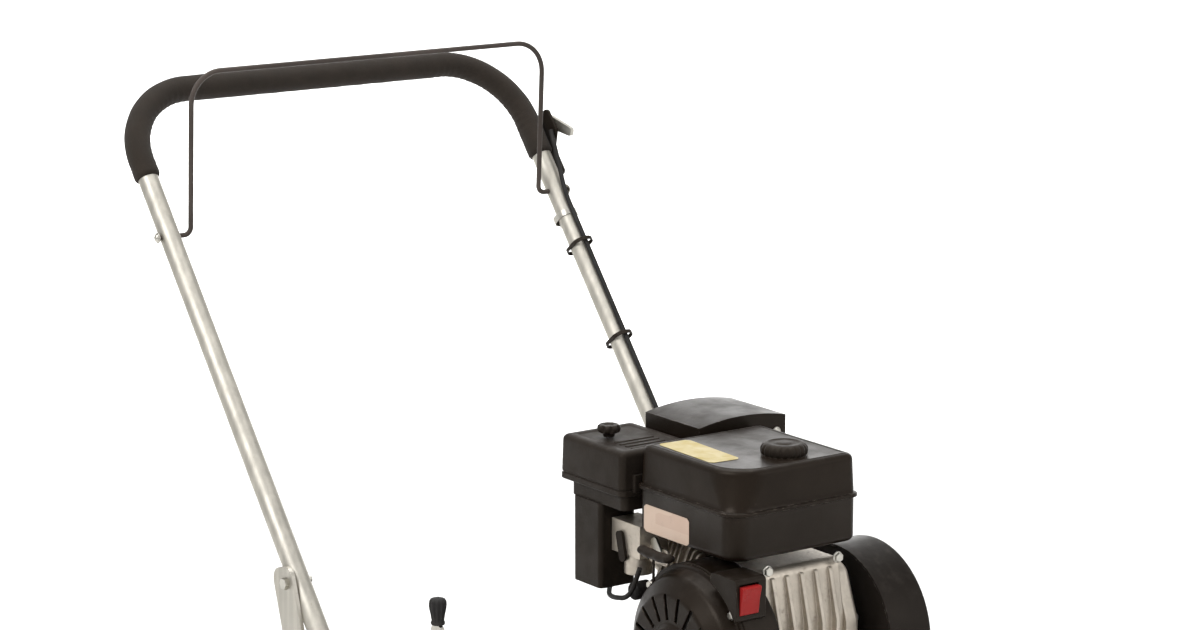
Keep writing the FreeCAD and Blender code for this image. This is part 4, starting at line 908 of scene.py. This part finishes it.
def make_tyre(name, body, node, middle, axis, radius, half, treads):
    """A tyre with a blocky tread, staggered between its two sides, and beads against the rim."""
    rim = radius * RIM_SHARE
    wall = radius - rim
    u, v = FORWARD, axis.cross(FORWARD)
    face = half - 0.0016
    shoulder, crown, rib_share = rim + wall * 0.72, rim + wall * 0.9, 0.1
    steps = treads * TREAD_STEPS
    section_steps = 18
    rings = []
    for k in range(section_steps + 1):
        turn = math.pi * k / section_steps
        radial = rim + 0.001 + (wall - 0.0032) * math.sin(turn) ** 0.55
        across = -math.cos(turn) * face
        stagger = 0.5 if across > 0 else 0
        ring = []
        for i in range(steps):
            angle = 2 * math.pi * i / steps
            in_block = ((i % TREAD_STEPS) / TREAD_STEPS + stagger) % 1.0 < BLOCK_SHARE
            lug = LUG if in_block and radial > shoulder else 0.0
            if abs(across) / half < rib_share:
                lug = LUG if radial > crown else 0
            reach = min(radial + lug, radius - 0.00005)
            ring.append(middle + axis * across + (u * math.cos(angle) + v * math.sin(angle)) * reach)
        rings.append(ring)
    bead = []
    seat = half * 0.55
    for across, inner in ((face, rim), (seat, rim - 0.001), (-seat, rim - 0.001), (-face, rim)):
        bead.append(circle(middle + axis * across, u, v, inner, steps))
    bm = bmesh.new()
    skin(bm, rings, caps=False)
    tube_wall(bm, bead, 0.0003)
    piece(name + "_tyre", bm, body, "tyre", [node], 38)


def make_rim(name, body, middle, axis, rim, half):
    """A moulded rim: a turned ring, web and hub round the bore, and six spokes on each face."""
    u, v = FORWARD, axis.cross(FORWARD)
    bore = 0.0082
    hub = 0.021
    web = 0.0035
    outer_half = [
        (rim - 0.0034, half - 0.0026),
        (rim - 0.006, half - 0.0034),
        (rim - 0.0078, web + 0.002),
        (rim - 0.0095, web),
        (hub + 0.003, web),
        (hub + 0.0012, web + 0.002),
        (hub, half - 0.002),
        (hub - 0.002, half - 0.0002),
        (bore, half - 0.0002),
    ]
    inner_half = [(radial, -across) for radial, across in reversed(outer_half)]
    edge = (rim - 0.0006, -half + 0.004)
    profile = [edge, (rim - 0.0014, half - 0.004), *outer_half, *inner_half, edge]
    bm = bmesh.new()
    sides = 96
    tube_wall(bm, [circle(middle + axis * across, u, v, radial, sides) for radial, across in profile])
    spokes = 6
    low, high = (hub - 0.001, -0.0035, web - 0.001), (rim - 0.0065, 0.0035, half * 0.62)
    for index in range(spokes):
        angle = 2 * math.pi * (index + 0.5) / spokes
        out = u * math.cos(angle) + v * math.sin(angle)
        for face in (axis, axis * -1):
            soft_block(bm, low, high, 0.0012, 0.0016, spoke_place(middle, out, axis.cross(out), face))
    piece(name + "_rim", bm, body, "black_plastic", (), 35)


def spoke_place(middle, out, across, face):
    """The place function of a spoke that runs out from the hub on one face of the web."""
    return lambda x, y, z: middle + out * x + across * y + face * z


def make_wheel(name, body, node, treads):
    """A tyre and its rim, sized by the wheel's node."""
    low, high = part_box(node)
    middle = (low + high) / 2
    radius = (high.x - low.x) / 2
    half = (high.y - low.y) / 2
    axis = LEFT if middle.y > 0 else LEFT * -1
    make_tyre(name, body, node, middle, axis, radius, half, treads)
    make_rim(name, body, middle, axis, radius * RIM_SHARE, half)


for end, treads in (("front", 30), ("rear", 42)):
    for hand in ("right", "left"):
        make_wheel(f"{end}_{hand}", f"wheel_{end}_{hand}", f"{end}_wheel_{hand}", treads)

# ---------------------------------------------------------------- fasteners and small trim


CRANK = (0.246, 0.406)
GUARD_HEAD = (0.250, 0.398)
REEL = (0.270, 0.122)
DECK_SIDE = 0.235
DECK_TOP = 0.300


def about(centre, y, radius, degrees):
    """A point on a circle about a crosswise axis, counted from straight ahead."""
    angle = math.radians(degrees)
    return Vector((centre[0], y, centre[1])) + Vector((math.cos(angle), 0, math.sin(angle))) * radius


def make_deck_bolts():
    """Bolts through the deck's side plates and the engine plate."""
    bm = bmesh.new()
    both_sides = [(0.37, 0.276), (0.452, 0.205), (0.455, 0.118), (-0.026, 0.2), (-0.024, 0.158)]
    # The depth lever sweeps over this place on the right side, so only the left plate has the bolt.
    left_only = [(0.092, 0.272)]
    for side, places in ((-1, both_sides), (1, both_sides + left_only)):
        for x, z in places:
            hex_bolt(bm, Vector((x, side * DECK_SIDE, z)), LEFT * side, turn=x * 40)
    for x in (0.13, 0.366):
        for y in (-0.212, -0.08, 0.036):
            hex_bolt(bm, Vector((x, y, DECK_TOP)), UP, turn=x * 31 + y * 17)
    piece("deck_bolts", bm, "chassis", "zinc", (), 30)


def make_engine_screws():
    """Screws of the engine's covers and of the belt guard, each on its own face."""
    bm = bmesh.new()
    large = {"across": 0.010, "height": 0.0042, "washer": 0.0068}
    small = {"across": 0.008, "height": 0.0042, "washer": 0.0052}
    guard_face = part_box("belt_guard")[1].y
    for degrees in (25, 95, 155, 330):
        hex_bolt(bm, about(GUARD_HEAD, guard_face, 0.086, degrees), LEFT, **large)
    for degrees in (210, 270, 330):
        hex_bolt(bm, about(REEL, guard_face, 0.07, degrees), LEFT, **large)
    # recoil housing's flange
    for degrees in (40, 140, 235, 305):
        hex_bolt(bm, about(CRANK, 0.0318, 0.1002, degrees), LEFT * -1, **small)
    # crankcase side cover
    cover = ((0.186, 0.334), (0.3, 0.332), (0.303, 0.43), (0.282, 0.478), (0.222, 0.478), (0.184, 0.414))
    for x, z in cover:
        hex_bolt(bm, Vector((x, 0.2249, z)), LEFT, 0.010, 0.0048, 0.0066)
    # front of the crankcase, beside the switch
    for y, z in ((0.0965, 0.507), (0.1995, 0.507), (0.0965, 0.4)):
        hex_bolt(bm, Vector((0.3035, y, z)), FORWARD, 0.010, 0.0055, 0.0068)
    # muffler guard
    for y in (0.149, 0.255):
        for z in (0.545, 0.612):
            hex_bolt(bm, Vector((0.119, y, z)), FORWARD, 0.008, 0.004, 0.0056)
            hex_bolt(bm, Vector((0.012, y, z)), FORWARD * -1, 0.008, 0.004, 0.0056)
    # rocker cover, on the cylinder that leans back
    lean = math.radians(25)
    out = Vector((-math.cos(lean), 0, math.sin(lean)))
    up = Vector((math.sin(lean), 0, math.cos(lean)))
    base = Vector((CRANK[0], 0.146, CRANK[1])) + out * 0.165
    spread = 0.039
    for a in (-1, 1):
        for b in (-1, 1):
            hex_bolt(bm, base + up * (a * spread) + LEFT * (b * spread), out, 0.008, 0.0045, 0.0048)
    piece("engine_screws", bm, "chassis", "zinc", (), 30)


make_deck_bolts()
make_engine_screws()

# ---------------------------------------------------------------- stage


def plain(name, color, rough):
    """Paper with a barely visible change of tone."""
    g = Graph(name)
    tone = g.ramp(g.noise(0.7, 2), 0.2, 0.8)
    shade = g.mix(tone, color, toned(color, 0.985))
    return g.finish(shade, rough)


def make_floor():
    """A paper floor that runs away from the camera and curves up into a backdrop."""
    mesh = bpy.data.meshes.new("floor")
    bm = bmesh.new()
    reach, back, height, curve, half_width, steps = 6.0, 7.0, 5.0, 2, 9, 12
    away = Vector((-0.814, 0.582, 0))
    across = Vector((0.582, 0.814, 0))
    line = [(-reach, 0.0), (back, 0.0)]
    for i in range(1, steps + 1):
        angle = math.pi / 2 * i / steps
        line.append((back + curve * math.sin(angle), curve * (1 - math.cos(angle))))
    line.append((back + curve, height))
    rows = []
    for along, z in line:
        start = away * along + UP * z
        rows.append([bm.verts.new(start + across * (side * half_width)) for side in (-1, 1)])
    for a, b in zip(rows, rows[1:]):
        bm.faces.new((a[0], a[1], b[1], b[0]))
    bmesh.ops.recalc_face_normals(bm, faces=bm.faces)
    bm.to_mesh(mesh)
    bm.free()
    for polygon in mesh.polygons:
        polygon.use_smooth = True
    floor = bpy.data.objects.new("floor", mesh)
    bpy.context.scene.collection.objects.link(floor)
    mesh.materials.append(plain("floor_paper", (0.93, 0.93, 0.925), 0.9))


def area_light(name, place, target, size, power):
    """A rectangular white lamp that faces a target."""
    data = bpy.data.lights.new(name, "AREA")
    data.shape = "RECTANGLE"
    data.size, data.size_y = size
    data.energy = power
    lamp = bpy.data.objects.new(name, data)
    lamp.location = place
    lamp.rotation_euler = (Vector(target) - Vector(place)).to_track_quat("-Z", "Y").to_euler()
    bpy.context.scene.collection.objects.link(lamp)


make_floor()
world = bpy.data.worlds.new("studio")
world.use_nodes = True
sky = world.node_tree.nodes["Background"]
sky.inputs["Color"].default_value = (1, 1, 1, 1)
sky.inputs["Strength"].default_value = 0.7
bpy.context.scene.world = world
bpy.context.scene.view_settings.view_transform = "Standard"
MACHINE = (0, 0, 0.5)
area_light("key", (0.6, -3.2, 3.4), MACHINE, (2.6, 2.0), 95)
area_light("side", (3.4, 1.8, 2.2), MACHINE, (1.6, 2.4), 28)
area_light("top", (-0.8, 0.4, 4.2), (0, 0, 0.4), (3.0, 3.0), 120)
area_light("backdrop", (-2.2, 1.6, 3.4), (-7.5, 5.4, 2.4), (6.0, 3.0), 700)

camera_data = bpy.data.cameras.new("camera")
camera_data.sensor_width = 36
camera_data.lens = 104.4
camera_data.clip_end = 100
camera = bpy.data.objects.new("camera", camera_data)
camera.location = (3.2965, -2.2786, 1.6008)
looked_at = Vector((0.112, 0, 0.784))
camera.rotation_euler = (looked_at - camera.location).to_track_quat("-Z", "Y").to_euler()
bpy.context.scene.collection.objects.link(camera)
bpy.context.scene.camera = camera
